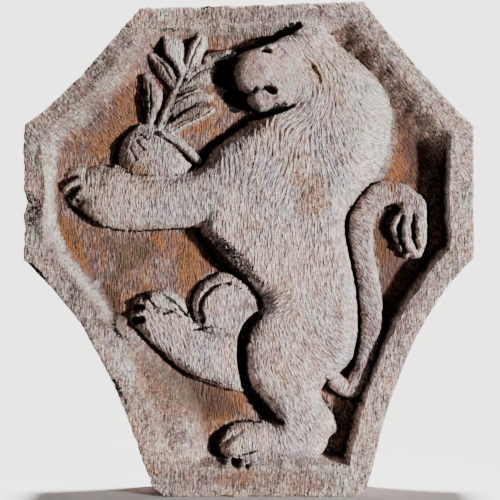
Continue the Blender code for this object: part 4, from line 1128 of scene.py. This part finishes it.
@dataclass
class StoneFace:
    """The carved face with its tool marks and wear, as layers on a raster."""

    outline: ShieldOutline
    lion: LionRelief
    thickness: float = 0.110
    lock_depth: float = 0.0013
    lock_pitch: float = 0.0066
    lock_length: float = 0.034
    fur_depth: float = 0.00055
    fur_pitch: float = 0.0046
    fur_length: float = 0.012
    pit_depth: float = 0.00034
    pit_pitch: float = 0.0055
    lump_depth: float = 0.0007
    worn_lump_depth: float = 0.0006
    lump_size: float = 0.040
    chisel_depth: float = 0.00035
    chisel_size: float = 0.012
    bite_depth: float = 0.0035
    bite_reach: float = 0.010
    arris_depth: float = 0.003
    arris_reach: float = 0.0035
    lowest: float = -0.004
    highest: float = 0.0508
    margin: float = 0.04
    waver: float = 0.0007
    rim_waver: float = 0.0012
    shadow_reach: float = 0.060
    shadow_slopes: tuple = (0.85, 1.35)
    stains: Stains = Stains()
    raster: Raster = field(init=False)
    depth: np.ndarray = field(init=False)
    masks: dict = field(init=False)

    def __post_init__(self) -> None:
        """Works out the height of the worn face and the masks that its finish needs."""
        outline, lion = self.outline, self.lion
        self.raster = Raster(outline.width + self.margin, outline.height + self.margin)
        raster = self.raster
        shift_x = raster.x + self.waver * raster.cloud(11, 0.020, 2.0)
        shift_z = raster.z + self.waver * raster.cloud(12, 0.020, 2.0)
        inner = self.rim_waver * raster.cloud(13, 0.030, 2.0) * np.where(raster.x > 0, 0.3, 1.0)
        rim, edge = outline.rim(shift_x, shift_z, inner)
        carved, part = lion.heights(shift_x, shift_z, rim)
        ground = part == Carving.GROUND.value
        on_rim = np.clip(rim / outline.field_depth * 1.4 - 0.4, 0, 1) * ground
        on_field = np.clip(1 - carved / (0.5 * outline.field_depth), 0, 1) * ground

        angle = lion.stroke_angle(raster.x, raster.z, part)
        mane = lion.mane(raster.x, raster.z)
        locks = raster.comb(raster.grain(21, self.lock_pitch), angle, self.lock_length)
        fur = raster.comb(raster.grain(22, self.fur_pitch, 0.45), angle, self.fur_length)
        pits = raster.grain(23, self.pit_pitch, 0.8)
        lumps = raster.cloud(24, self.lump_size, 1.6)
        rough = raster.cloud(25, self.chisel_size, 0.8)

        figure = 1 - ground
        smooth = 1 - 0.65 * lion.muzzle(raster.x, raster.z)
        worn = raster.soften(figure.astype(float), 0.004)
        height = carved + self.lock_depth * mane * figure * np.tanh(locks * 0.9)
        height += self.fur_depth * fur * (worn * (1 - 0.6 * mane) * smooth + 0.45 * (1 - worn))
        height += ground * (self.pit_depth * pits + self.lump_depth * lumps)
        height += (1 - worn) * (1 - on_field) * self.chisel_depth * rough
        height += (on_rim + figure) * self.worn_lump_depth * lumps
        bite = np.clip(raster.cloud(26, 0.018, 0.9) - 0.5, 0, 2) * np.clip(1 - edge / self.bite_reach, 0, 1)
        height -= self.bite_depth * bite
        height -= self.arris_depth * np.clip(1 - edge / self.arris_reach, 0, 1) ** 2
        self.depth = np.clip(height, self.lowest, self.highest)

        across, up = raster.x / lion.unit, raster.z / lion.unit
        stains = self.stains
        # Painted cast shadow: the places that something higher shades from the light on the right
        shadow_from_right = self.shadow_from_right(carved)
        # Where the face lies below its blurred self it is painted darker, as painted shade in the narrow
        # recesses and along the contours, and darker beside raised parts in the broad ones; where it stands
        # above, the ridges are lighter as wear
        sunk = raster.soften(carved, 0.0030) - carved
        deep = raster.soften(carved, 0.011) - carved
        lines = stains.layer(stains.crust_and_shadow_lines, across + 0.10 * rough, up + 0.10 * pits)
        self.masks = {
            "patina": on_field,
            # Black crust together with painted shade: painted shadow along the contours and in the gaps,
            # painted cast shadow where the light from the right is blocked, and painted shade in the narrow
            # recesses
            "crust_and_shade": np.maximum(0.85 * lines, 0.42 * shadow_from_right + 0.4 * np.clip(sunk / 0.009, 0, 1)
                                + 0.2 * np.clip(deep / 0.020, 0, 1)),
            "worn": np.clip(-sunk / 0.0050, 0, 1),
            # Painted shade in the grooves between the locks of the mane
            "groove_shade": np.clip((-locks - 0.55) * 1.3, 0, 1) * mane * figure,
            "figure": worn * smooth,
            "bare": 1 - worn,
            "ochre": stains.layer(stains.ochre_stains, across + 0.5 * lumps, up + 0.7 * rough),
            "olive": stains.layer(stains.olive_stains, across + 0.6 * lumps, up + 0.8 * rough),
            "film": stains.layer(stains.brown_film, across + 0.4 * lumps, up + 0.5 * rough),
            "pale": stains.layer(stains.pale_patches_and_highlights, across + 0.15 * pits, up + 0.15 * rough),
            "lay_across": np.cos(2 * angle),
            "lay_up": np.sin(2 * angle),
        }

    def shadow_from_right(self, height: np.ndarray) -> np.ndarray:
        """Finds the places in the shadow of something higher to their right, where the key light comes from,
        for painted cast shadow.

        Args:
            height: The height of the face.

        Returns:
            The share of shadow at each place, which is painted dark as cast shadow.
        """
        columns = height.shape[1]
        steepest = np.zeros(height.shape)
        for step in range(1, round(self.shadow_reach / self.raster.cell)):
            rise = (height[:, step:] - height[:, :columns - step]) / (step * self.raster.cell)
            steepest[:, :columns - step] = np.maximum(steepest[:, :columns - step], rise)
        low, high = self.shadow_slopes
        return self.raster.soften(np.clip((steepest - low) / (high - low), 0, 1), 0.0012)


@dataclass
class CarvedSlab:
    """The slab itself, as one closed mesh: the carved face, the rough sides and the plain back."""

    face: StoneFace
    grid_step: float = 0.00145
    face_triangles: int = 157000
    side_rings: int = 12
    side_roughness: float = 0.0022
    side_lumps: float = 0.022
    middle: tuple = (0.0, 0.0, -0.02)
    back_inset: float = 0.985
    back_margin: float = 0.001
    notch_place: float = 0.066
    notch_reach: float = 0.018
    notch_depth: float = 0.005
    chip_reach: float = 0.035

    def front_sheet(self) -> bpy.types.Mesh:
        """Builds the carved face as one open sheet, thinned to the triangles that its shape needs.

        Returns:
            The sheet's mesh.
        """
        outline, face = self.face.outline, self.face
        columns, rows = round(outline.width / self.grid_step), round(outline.height / self.grid_step)
        grid = bmesh.new()
        bmesh.ops.create_grid(grid, x_segments=columns, y_segments=rows, size=0.5)
        dense = bpy.data.meshes.new("dense_face")
        grid.to_mesh(dense)
        grid.free()
        places = np.empty(len(dense.vertices) * 3, np.float32)
        dense.vertices.foreach_get("co", places)
        places = places.reshape(-1, 3).astype(float)
        x, z = outline.place(places[:, 0] + 0.5, places[:, 1] + 0.5)
        x, z = self.chip_edges(places[:, 0] + 0.5, places[:, 1] + 0.5, x, z)
        y = -(face.thickness - outline.field_depth) - face.raster.sample(face.depth, x, z)
        x = np.clip(x, -outline.width / 2, outline.width / 2)
        z = np.clip(z, -outline.height / 2, outline.height / 2)
        dense.vertices.foreach_set("co", np.column_stack((x, y, z)).ravel())
        dense.update()
        sheet = bpy.data.objects.new("dense_face", dense)
        bpy.context.scene.collection.objects.link(sheet)
        thin = sheet.modifiers.new("thin", "DECIMATE")
        thin.ratio = self.face_triangles / (2 * columns * rows)
        thin.use_collapse_triangulate = True
        bpy.context.view_layer.update()
        graph = bpy.context.evaluated_depsgraph_get()
        front = bpy.data.meshes.new_from_object(sheet.evaluated_get(graph))
        bpy.data.objects.remove(sheet)
        bpy.data.meshes.remove(dense)
        return front

    def chip_edges(
        self, u: np.ndarray, v: np.ndarray, x: np.ndarray, z: np.ndarray,
    ) -> tuple[np.ndarray, np.ndarray]:
        """Breaks the outline where it is worn.

        Args:
            u: Shares across.
            v: Shares up.
            x: Places across.
            z: Places up.

        Returns:
            The places across and up, drawn in from the edge by its chips.
        """
        def chips(along: np.ndarray, seed: int, pitch: float, depth: float) -> np.ndarray:
            """Gives the depth of the chips along an edge.

            Args:
                along: Places along it.
                seed: The seed of the random draw.
                pitch: The chips' spacing.
                depth: Their usual depth.

            Returns:
                The depth at each place.
            """
            random = np.random.default_rng(seed)
            knots = np.arange(-0.5, 0.5 + pitch, pitch)
            return depth * np.interp(along, knots, np.clip(random.standard_normal(knots.size), 0, 2.2))

        left = chips(z, 31, 0.014, 0.0022) + chips(z, 32, 0.0045, 0.0010)
        left += self.notch_depth * np.clip(1 - ((z - self.notch_place) / self.notch_reach) ** 2, 0, 1)
        right = chips(z, 33, 0.020, 0.0006) + chips(z, 34, 0.005, 0.0003)
        top = chips(x, 35, 0.013, 0.0010) + chips(x, 36, 0.004, 0.0006)
        foot = chips(x, 37, 0.016, 0.0016) + chips(x, 38, 0.005, 0.0008)
        width = self.face.outline.width / self.chip_reach
        height = self.face.outline.height / self.chip_reach
        near_left, near_right = np.clip(1 - u * width, 0, 1), np.clip(1 - (1 - u) * width, 0, 1)
        near_foot, near_top = np.clip(1 - v * height, 0, 1), np.clip(1 - (1 - v) * height, 0, 1)
        return x + left * near_left - right * near_right, z + foot * near_foot - top * near_top

    def build(self) -> bpy.types.Object:
        """Builds the closed slab.

        Returns:
            The finished object, which carries its masks as attributes.
        """
        slab = bmesh.new()
        front = self.front_sheet()
        slab.from_mesh(front)
        bpy.data.meshes.remove(front)
        self.close_back(slab, self.drop_sides(slab))
        half_width, half_height = self.face.outline.width / 2, self.face.outline.height / 2
        for vertex in slab.verts:
            vertex.co.x = min(max(vertex.co.x, -half_width), half_width)
            vertex.co.z = min(max(vertex.co.z, -half_height), half_height)
        mesh = bpy.data.meshes.new("weathered_shield")
        slab.to_mesh(mesh)
        slab.free()
        mesh.shade_smooth()
        piece = bpy.data.objects.new("weathered_shield", mesh)
        bpy.context.scene.collection.objects.link(piece)
        self.paint_masks(mesh)
        return piece

    def drop_sides(self, slab: bmesh.types.BMesh) -> list:
        """Runs the sides from the face to the back, with gentle lumps between.

        Args:
            slab: The mesh, which holds the open face alone.

        Returns:
            The open edges at the back.
        """
        face_vertices = set(slab.verts)
        loop = [edge for edge in slab.edges if edge.is_boundary]
        for rings_left in range(self.side_rings, 0, -1):
            loop, corners = self.extrude(slab, loop)
            for vertex in corners:
                vertex.co.y *= (rings_left - 1) / rings_left
        sides = [vertex for vertex in slab.verts if vertex not in face_vertices]
        for vertex in [vertex for vertex in sides if vertex.co.y < -self.back_margin]:
            inward = Vector(self.middle) - vertex.co
            inward.y = 0
            lump = 0.5 + 0.5 * noise.noise(vertex.co / self.side_lumps)
            vertex.co += inward.normalized() * self.side_roughness * max(lump, 0.0)
        return loop

    def close_back(self, slab: bmesh.types.BMesh, loop: list) -> None:
        """Closes the back with a flat border and a flat face inside it.

        Args:
            slab: The mesh.
            loop: Its open edges at the back.
        """
        loop, corners = self.extrude(slab, loop)
        for vertex in corners:
            vertex.co = Vector(self.middle).lerp(vertex.co, self.back_inset)
        bmesh.ops.edgeloop_fill(slab, edges=loop)
        bmesh.ops.triangulate(slab, faces=[face for face in slab.faces if len(face.verts) > 3])
        bmesh.ops.recalc_face_normals(slab, faces=slab.faces)

    @staticmethod
    def extrude(slab: bmesh.types.BMesh, loop: list) -> tuple[list, list]:
        """Extrudes the open edge.

        Args:
            slab: The mesh.
            loop: Its open edges.

        Returns:
            The new open edges and their vertices.
        """
        new = bmesh.ops.extrude_edge_only(slab, edges=loop)["geom"]
        edges = [item for item in new if isinstance(item, bmesh.types.BMEdge) and item.is_boundary]
        return edges, [item for item in new if isinstance(item, bmesh.types.BMVert)]

    def paint_masks(self, mesh: bpy.types.Mesh) -> None:
        """Stores the face's masks on the vertices, and plain values on the sides and back.

        Args:
            mesh: The slab's mesh.
        """
        face = self.face
        places = np.empty(len(mesh.vertices) * 3, np.float32)
        mesh.vertices.foreach_get("co", places)
        x, y, z = places.reshape(-1, 3).astype(float).T
        surface = -(face.thickness - face.outline.field_depth) - face.raster.sample(face.depth, x, z)
        on_face = np.clip(1 - (y - surface) / 0.010, 0, 1)
        plain = {"crust_and_shade": 0.12, "film": 0.45, "lay_across": -1.0}
        for name, layer in face.masks.items():
            values = face.raster.sample(layer, x, z) * on_face + plain.get(name, 0.0) * (1 - on_face)
            attribute = mesh.attributes.new(name, "FLOAT", "POINT")
            attribute.data.foreach_set("value", values.astype(np.float32))


class Socket:
    """A value inside a material, on which sums are written as Python expressions."""

    def __init__(self, shader: "ShaderTree", link: bpy.types.NodeSocket) -> None:
        """Keeps the material's tree and the socket that gives the value."""
        self.shader = shader
        self.link = link

    def sum(self, operation: str, first: object, second: object) -> "Socket":
        """Adds one Math node.

        Args:
            operation: The node's operation.
            first: Its first value or socket.
            second: Its second value or socket.

        Returns:
            The node's result.
        """
        return self.shader.add("ShaderNodeMath", {"operation": operation}, {0: first, 1: second})

    def __add__(self, other: object) -> "Socket":
        """The sum."""
        return self.sum("ADD", self, other)

    __radd__ = __add__

    def __sub__(self, other: object) -> "Socket":
        """The difference."""
        return self.sum("SUBTRACT", self, other)

    def __rsub__(self, other: object) -> "Socket":
        """The difference the other way round."""
        return self.sum("SUBTRACT", other, self)

    def __mul__(self, other: object) -> "Socket":
        """The product."""
        return self.sum("MULTIPLY", self, other)

    __rmul__ = __mul__

    def within(self) -> "Socket":
        """The value kept from 0 to 1."""
        return self.shader.add("ShaderNodeClamp", {}, {0: self})


class ShaderTree:
    """The nodes of one material."""

    def __init__(self, name: str) -> None:
        """Starts a material with a Principled shader.

        Args:
            name: The material's name.
        """
        self.material = bpy.data.materials.new(name)
        self.material.use_nodes = True
        self.tree = self.material.node_tree
        self.surface = self.tree.nodes["Principled BSDF"]

    def add(self, kind: str, settings: dict, values: dict, output: object = 0) -> Socket:
        """Adds one node.

        Args:
            kind: The node's type.
            settings: Its settings, which are set first.
            values: A value or a Socket for each of its inputs, by number or name.
            output: The output that is wanted.

        Returns:
            That output.
        """
        node = self.tree.nodes.new(kind)
        for key, value in settings.items():
            setattr(node, key, value)
        for key, value in values.items():
            self.feed(node.inputs[key], value)
        return Socket(self, node.outputs[output])

    def feed(self, target: bpy.types.NodeSocket, value: object) -> None:
        """Sets an input.

        Args:
            target: The input.
            value: Its value, or the Socket that it is linked to.
        """
        if isinstance(value, Socket):
            self.tree.links.new(value.link, target)
        else:
            target.default_value = value

    def mix(self, share: object, first: object, second: object) -> Socket:
        """Mixes two colours, by a share of the second."""
        settings = {"data_type": "RGBA", "clamp_factor": True}
        return self.add("ShaderNodeMix", settings, {0: share, 6: first, 7: second}, 2)

    def attribute(self, name: str) -> Socket:
        """Reads a mask of the mesh."""
        return self.add("ShaderNodeAttribute", {"attribute_name": name}, {}, "Fac")

    def noise(
        self, size: float, detail: float = 3.0, roughness: float = 0.55, stretch: tuple = (1, 1, 1),
    ) -> Socket:
        """Adds noise on the object's own coordinates.

        Args:
            size: The noise's usual size.
            detail: Its number of finer layers.
            roughness: How much those show.
            stretch: How many times finer it is along each axis.

        Returns:
            The noise, around 0.5.
        """
        place = self.add("ShaderNodeTexCoord", {}, {}, "Object")
        place = self.add("ShaderNodeMapping", {}, {"Vector": place, "Scale": stretch})
        values = {"Vector": place, "Scale": 1 / size, "Detail": detail, "Roughness": roughness}
        return self.add("ShaderNodeTexNoise", {"noise_dimensions": "3D"}, values, 0)

    def strokes(self, pitch: float, length: float, ways: int = 8) -> Socket:
        """Adds fine tool strokes that lie along the mesh's lay_across and lay_up values.

        Args:
            pitch: The strokes' width.
            length: The strokes' length.
            ways: The number of directions that are blended.

        Returns:
            The strokes, around 0.
        """
        lay_across, lay_up = self.attribute("lay_across"), self.attribute("lay_up")
        place = self.add("ShaderNodeTexCoord", {}, {}, "Object")
        least = math.cos(2 * math.pi / ways)
        total = 0.0
        for way in range(ways):
            turn = math.pi * way / ways
            along = lay_across * math.cos(2 * turn) + lay_up * math.sin(2 * turn)
            share = ((along - least) * (1 / (1 - least))).within()
            values = {"Vector": place, "Rotation": (0, -turn, 0), "Scale": (length, 0.02, pitch)}
            turned = self.add("ShaderNodeMapping", {"vector_type": "TEXTURE"}, values)
            values = {"Vector": turned, "Scale": 1.0, "Detail": 1.0, "Roughness": 0.5}
            noise = self.add("ShaderNodeTexNoise", {"noise_dimensions": "3D"}, values, 0)
            total = share * (noise - 0.5) + total
        return total

    def band(self, value: Socket, low: float, high: float) -> Socket:
        """Spreads the values from low to high over 0 to 1."""
        settings = {"clamp": True, "interpolation_type": "SMOOTHSTEP"}
        return self.add("ShaderNodeMapRange", settings, {0: value, 1: low, 2: high, 3: 0.0, 4: 1.0})


def colour(red: int, green: int, blue: int) -> tuple:
    """Turns a display colour into the linear colour that shaders use.

    Args:
        red: Its red, from 0 to 255.
        green: Its green.
        blue: Its blue.

    Returns:
        The red, green, blue and opacity.
    """
    parts = (red, green, blue)
    linear = tuple(((part / 255 + 0.055) / 1.055) ** 2.4 if part > 10 else part / 3295 for part in parts)
    return linear + (1.0,)


@dataclass(frozen=True)
class WeatheredStone:
    """Dry limestone: pinkish grey where worn, orange brown in the field, dark crust and painted shade in the
    hollows, and painted shadow where the light from the right is blocked.
    """

    pink: tuple = colour(226, 180, 172)
    grey: tuple = colour(186, 166, 178)
    tan: tuple = colour(196, 148, 100)
    orange: tuple = colour(158, 102, 60)
    umber: tuple = colour(80, 54, 42)
    olive: tuple = colour(98, 82, 60)
    mauve: tuple = colour(128, 96, 94)
    film: tuple = colour(150, 118, 104)
    # Dark grain, and the painted shade in the stroke and mane grooves
    grain_and_shade: tuple = colour(88, 70, 72)
    # Near black, for the crust and for the painted shade and shadow
    crust_and_shade: tuple = colour(14, 11, 11)
    # Fresh breaks, wear and light grain, and the painted highlights on stroke ridges and lit edges
    cream_and_highlight: tuple = colour(246, 238, 226)
    lichen: tuple = colour(196, 214, 184)
    roughness: float = 0.93
    bump: float = 0.0038

    def material(self) -> bpy.types.Material:
        """Builds the stone's material.

        Returns:
            The material.
        """
        shader = ShaderTree("weathered stone")
        patina, crust_and_shade = shader.attribute("patina"), shader.attribute("crust_and_shade")
        worn, groove_shade = shader.attribute("worn"), shader.attribute("groove_shade")
        ochre, olive = shader.attribute("ochre"), shader.attribute("olive")
        pale, film = shader.attribute("pale"), shader.attribute("film")
        figure, plain = shader.attribute("figure"), shader.attribute("bare") * (1 - patina)
        broad = shader.noise(0.070, 4)
        other = shader.noise(0.034, 4, stretch=(1, 1, 0.6))
        middle = shader.noise(0.011, 4)
        fine = shader.noise(0.0040, 3)
        speck = shader.noise(0.0022, 2)
        strokes = shader.strokes(0.0019, 0.0085) * (figure * 0.85 + patina * 0.70 + plain * 0.44 + 0.10)
        # The worn stone in its patches of colour
        stone = shader.mix(shader.band(broad, 0.42, 0.60), self.pink, self.grey)
        veil = plain * (shader.band(other, 0.66, 0.40) * 0.6 + 0.25)
        stone = shader.mix(veil.within(), stone, self.film)
        stone = shader.mix(shader.band(other, 0.50, 0.66) * 0.55, stone, self.tan)
        stone = shader.mix(shader.band(other, 0.44, 0.33) * 0.55, stone, self.lichen)
        stone = shader.mix(shader.band(middle, 0.54, 0.70) * 0.50, stone, self.lichen)
        stone = shader.mix(shader.band(middle, 0.47, 0.32) * (plain * 0.45 + 0.38), stone, self.mauve)
        # The warm patina of the field
        warm = shader.mix(shader.band(other, 0.38, 0.62), self.mauve, self.orange)
        warm = shader.mix(shader.band(broad, 0.50, 0.62) * 0.45, warm, self.olive)
        warm = shader.mix(shader.band(middle, 0.46, 0.64) * 0.70, warm, self.umber)
        warmth = patina * (shader.band(broad, 0.2, 0.6) * 0.25 + 0.75)
        stone = shader.mix(warmth.within(), stone, warm)
        # Stains, fresh breaks, wear and the painted highlights on lit edges
        dirt = shader.mix(patina, self.mauve, self.umber)
        browned = film * (shader.band(middle, 0.62, 0.40) * 0.5 + 0.4)
        stone = shader.mix(browned.within(), stone, dirt)
        rusted = ochre * (shader.band(middle, 0.62, 0.36) * 0.5 + 0.45)
        stone = shader.mix(rusted.within(), stone, self.orange)
        overgrown = olive * (shader.band(middle, 0.30, 0.60) * 0.5 + 0.45)
        stone = shader.mix(overgrown.within(), stone, self.olive)
        chalk = shader.band(fine, 0.36, 0.54) * 0.45 + shader.band(middle, 0.58, 0.44) * 0.45 + 0.05
        chalk = pale * chalk + worn * 0.35
        stone = shader.mix(chalk.within(), stone, self.cream_and_highlight)
        # Tool marks and grain: the stroke ridges are painted lighter as painted highlight where the stone is
        # clean, and the stroke grooves darker as painted shade and dirt
        clean = (0.85 - patina * 0.62 - film * 0.40 - (ochre + olive) * 0.45).within()
        stone = shader.mix(shader.band(strokes, 0.02, 0.12) * clean, stone, self.cream_and_highlight)
        stone = shader.mix(shader.band(strokes, -0.02, -0.14) * 0.66, stone, self.grain_and_shade)
        stone = shader.mix(shader.band(fine, 0.53, 0.64) * (plain * 0.64 + 0.18), stone, self.grain_and_shade)
        clean = (0.50 - patina * 0.45 - film * 0.30).within()
        stone = shader.mix(shader.band(fine, 0.44, 0.32) * clean, stone, self.cream_and_highlight)
        stone = shader.mix(shader.band(speck, 0.56, 0.66) * 0.45, stone, self.grain_and_shade)
        clean = (0.45 - patina * 0.40 - film * 0.25).within()
        stone = shader.mix(shader.band(speck, 0.44, 0.34) * clean, stone, self.cream_and_highlight)
        # Painted shade in the grooves between the locks of the mane
        stone = shader.mix(groove_shade * 0.40, stone, self.grain_and_shade)
        # The black crust with the painted shadow and shade, broken up by the grain
        broken_crust_and_shade = crust_and_shade + (fine - 0.5) * 1.0 + (speck - 0.5) * 0.8
        stone = shader.mix(shader.band(broken_crust_and_shade, 0.25, 0.75), stone, self.crust_and_shade)
        shader.feed(shader.surface.inputs["Base Color"], stone)
        shader.surface.inputs["Roughness"].default_value = self.roughness
        shader.surface.inputs["Specular IOR Level"].default_value = 0.25
        relief = strokes * 1.4 + fine * 0.6 + speck * 0.4
        bump = {"Strength": 1.0, "Distance": self.bump, "Height": relief}
        shader.feed(shader.surface.inputs["Normal"], shader.add("ShaderNodeBump", {}, bump))
        return shader.material


@dataclass
class Studio:
    """The plain pale floor, the lights and the camera."""

    pixel: float = 0.700 / 496
    photo_middle: tuple = (248.5, 249.0)
    frame_pixels: float = 500.0
    focal_length: float = 110.0
    key_rise: float = 43.0
    key_distance: float = 3.2
    key_power: float = 850.0
    key_radius: float = 0.11
    fill_power: float = 1.0
    sky: float = 0.016
    floor_light: float = 13.0
    floor_light_tilt: float = 10.0
    floor_level: float = -0.3505
    floor_radius: float = 9.0
    floor_front: float = -0.24

    def floor(self) -> bpy.types.Object:
        """Lays the floor, from just in front of the shield to far behind it.

        Returns:
            The floor.
        """
        plane = bmesh.new()
        bmesh.ops.create_circle(plane, cap_ends=True, segments=256, radius=self.floor_radius)
        middle = (0, self.floor_front + self.floor_radius, self.floor_level)
        bmesh.ops.translate(plane, verts=plane.verts, vec=middle)
        mesh = bpy.data.meshes.new("floor")
        plane.to_mesh(mesh)
        plane.free()
        shader = ShaderTree("pale floor")
        shader.surface.inputs["Base Color"].default_value = colour(238, 237, 235)
        shader.surface.inputs["Roughness"].default_value = 1.0
        shader.surface.inputs["Specular IOR Level"].default_value = 0.0
        mesh.materials.append(shader.material)
        floor = bpy.data.objects.new("floor", mesh)
        bpy.context.scene.collection.objects.link(floor)
        return floor

    def lamp(self, name: str, kind: str, place: Vector, power: float, settings: dict) -> None:
        """Hangs a lamp that faces the shield.

        Args:
            name: The lamp's name.
            kind: Blender's kind of light.
            place: Where it hangs.
            power: Its power.
            settings: Its other settings.
        """
        light = bpy.data.lights.new(name, kind)
        light.energy = power
        for key, value in settings.items():
            setattr(light, key, value)
        lamp = bpy.data.objects.new(name, light)
        lamp.location = place
        lamp.rotation_euler = (-place).to_track_quat("-Z", "Y").to_euler()
        bpy.context.scene.collection.objects.link(lamp)

    def light(self) -> None:
        """Lights the shield from its right, with a weak fill, and the floor from above and behind."""
        rise = math.radians(self.key_rise)
        key = Vector((math.cos(rise), -math.sin(rise), 0.0)) * self.key_distance
        cone = {"spot_size": math.radians(22), "spot_blend": 0.3, "shadow_soft_size": self.key_radius}
        self.lamp("key", "SPOT", key, self.key_power, cone)
        self.lamp("fill", "AREA", Vector((-1.2, -2.6, 1.4)), self.fill_power, {"size": 2.0})
        tilt = math.radians(self.floor_light_tilt)
        above = Vector((0, math.sin(tilt), math.cos(tilt))) * 3
        self.lamp("floor light", "SUN", above, self.floor_light, {"angle": math.radians(8)})
        world = bpy.data.worlds.new("pale studio")
        world.use_nodes = True
        tree = world.node_tree
        sky = tree.nodes["Background"]
        sky.inputs["Color"].default_value = (1, 1, 1, 1)
        sky.inputs["Strength"].default_value = self.sky
        backdrop = tree.nodes.new("ShaderNodeBackground")
        backdrop.inputs["Color"].default_value = colour(238, 237, 235)
        backdrop.inputs["Strength"].default_value = self.floor_light * math.cos(tilt) / math.pi + self.sky
        seen = tree.nodes.new("ShaderNodeLightPath").outputs["Is Camera Ray"]
        mixed = tree.nodes.new("ShaderNodeMixShader")
        tree.links.new(seen, mixed.inputs[0])
        tree.links.new(sky.outputs[0], mixed.inputs[1])
        tree.links.new(backdrop.outputs[0], mixed.inputs[2])
        tree.links.new(mixed.outputs[0], tree.nodes["World Output"].inputs["Surface"])
        bpy.context.scene.world = world

    def camera(self, rim_front: float) -> None:
        """Sets the camera straight in front of the shield.

        Args:
            rim_front: The place along Y of the rim's front, which the photograph's scale is taken at.
        """
        lens = bpy.data.cameras.new("camera")
        lens.lens = self.focal_length
        lens.sensor_width = 36.0
        lens.clip_start = 0.05
        across = self.frame_pixels * self.pixel
        distance = across * self.focal_length / lens.sensor_width
        middle = self.frame_pixels / 2
        x = (middle - self.photo_middle[0]) * self.pixel
        z = (self.photo_middle[1] - middle) * self.pixel
        camera = bpy.data.objects.new("camera", lens)
        camera.location = (x, rim_front - distance, z)
        camera.rotation_euler = (math.pi / 2, 0, 0)
        bpy.context.scene.collection.objects.link(camera)
        bpy.context.scene.camera = camera


def main() -> None:
    """Builds the dressed slab and the studio."""
    logging.basicConfig(level=logging.INFO, format="%(message)s")
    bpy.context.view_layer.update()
    face = StoneFace(ShieldOutline(), LionRelief())
    log.info("worked out the carved face")
    slab = CarvedSlab(face).build()
    slab.data.materials.append(WeatheredStone().material())
    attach(slab, ONLY_BODY)
    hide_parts(SHIELD_NODE)
    log.info("built %s with %d triangles", slab.name, len(slab.data.polygons))
    studio = Studio()
    studio.floor()
    studio.light()
    studio.camera(-face.thickness)
    log.info("set the floor, the lights and the camera")


if __name__ == "__main__":
    main()
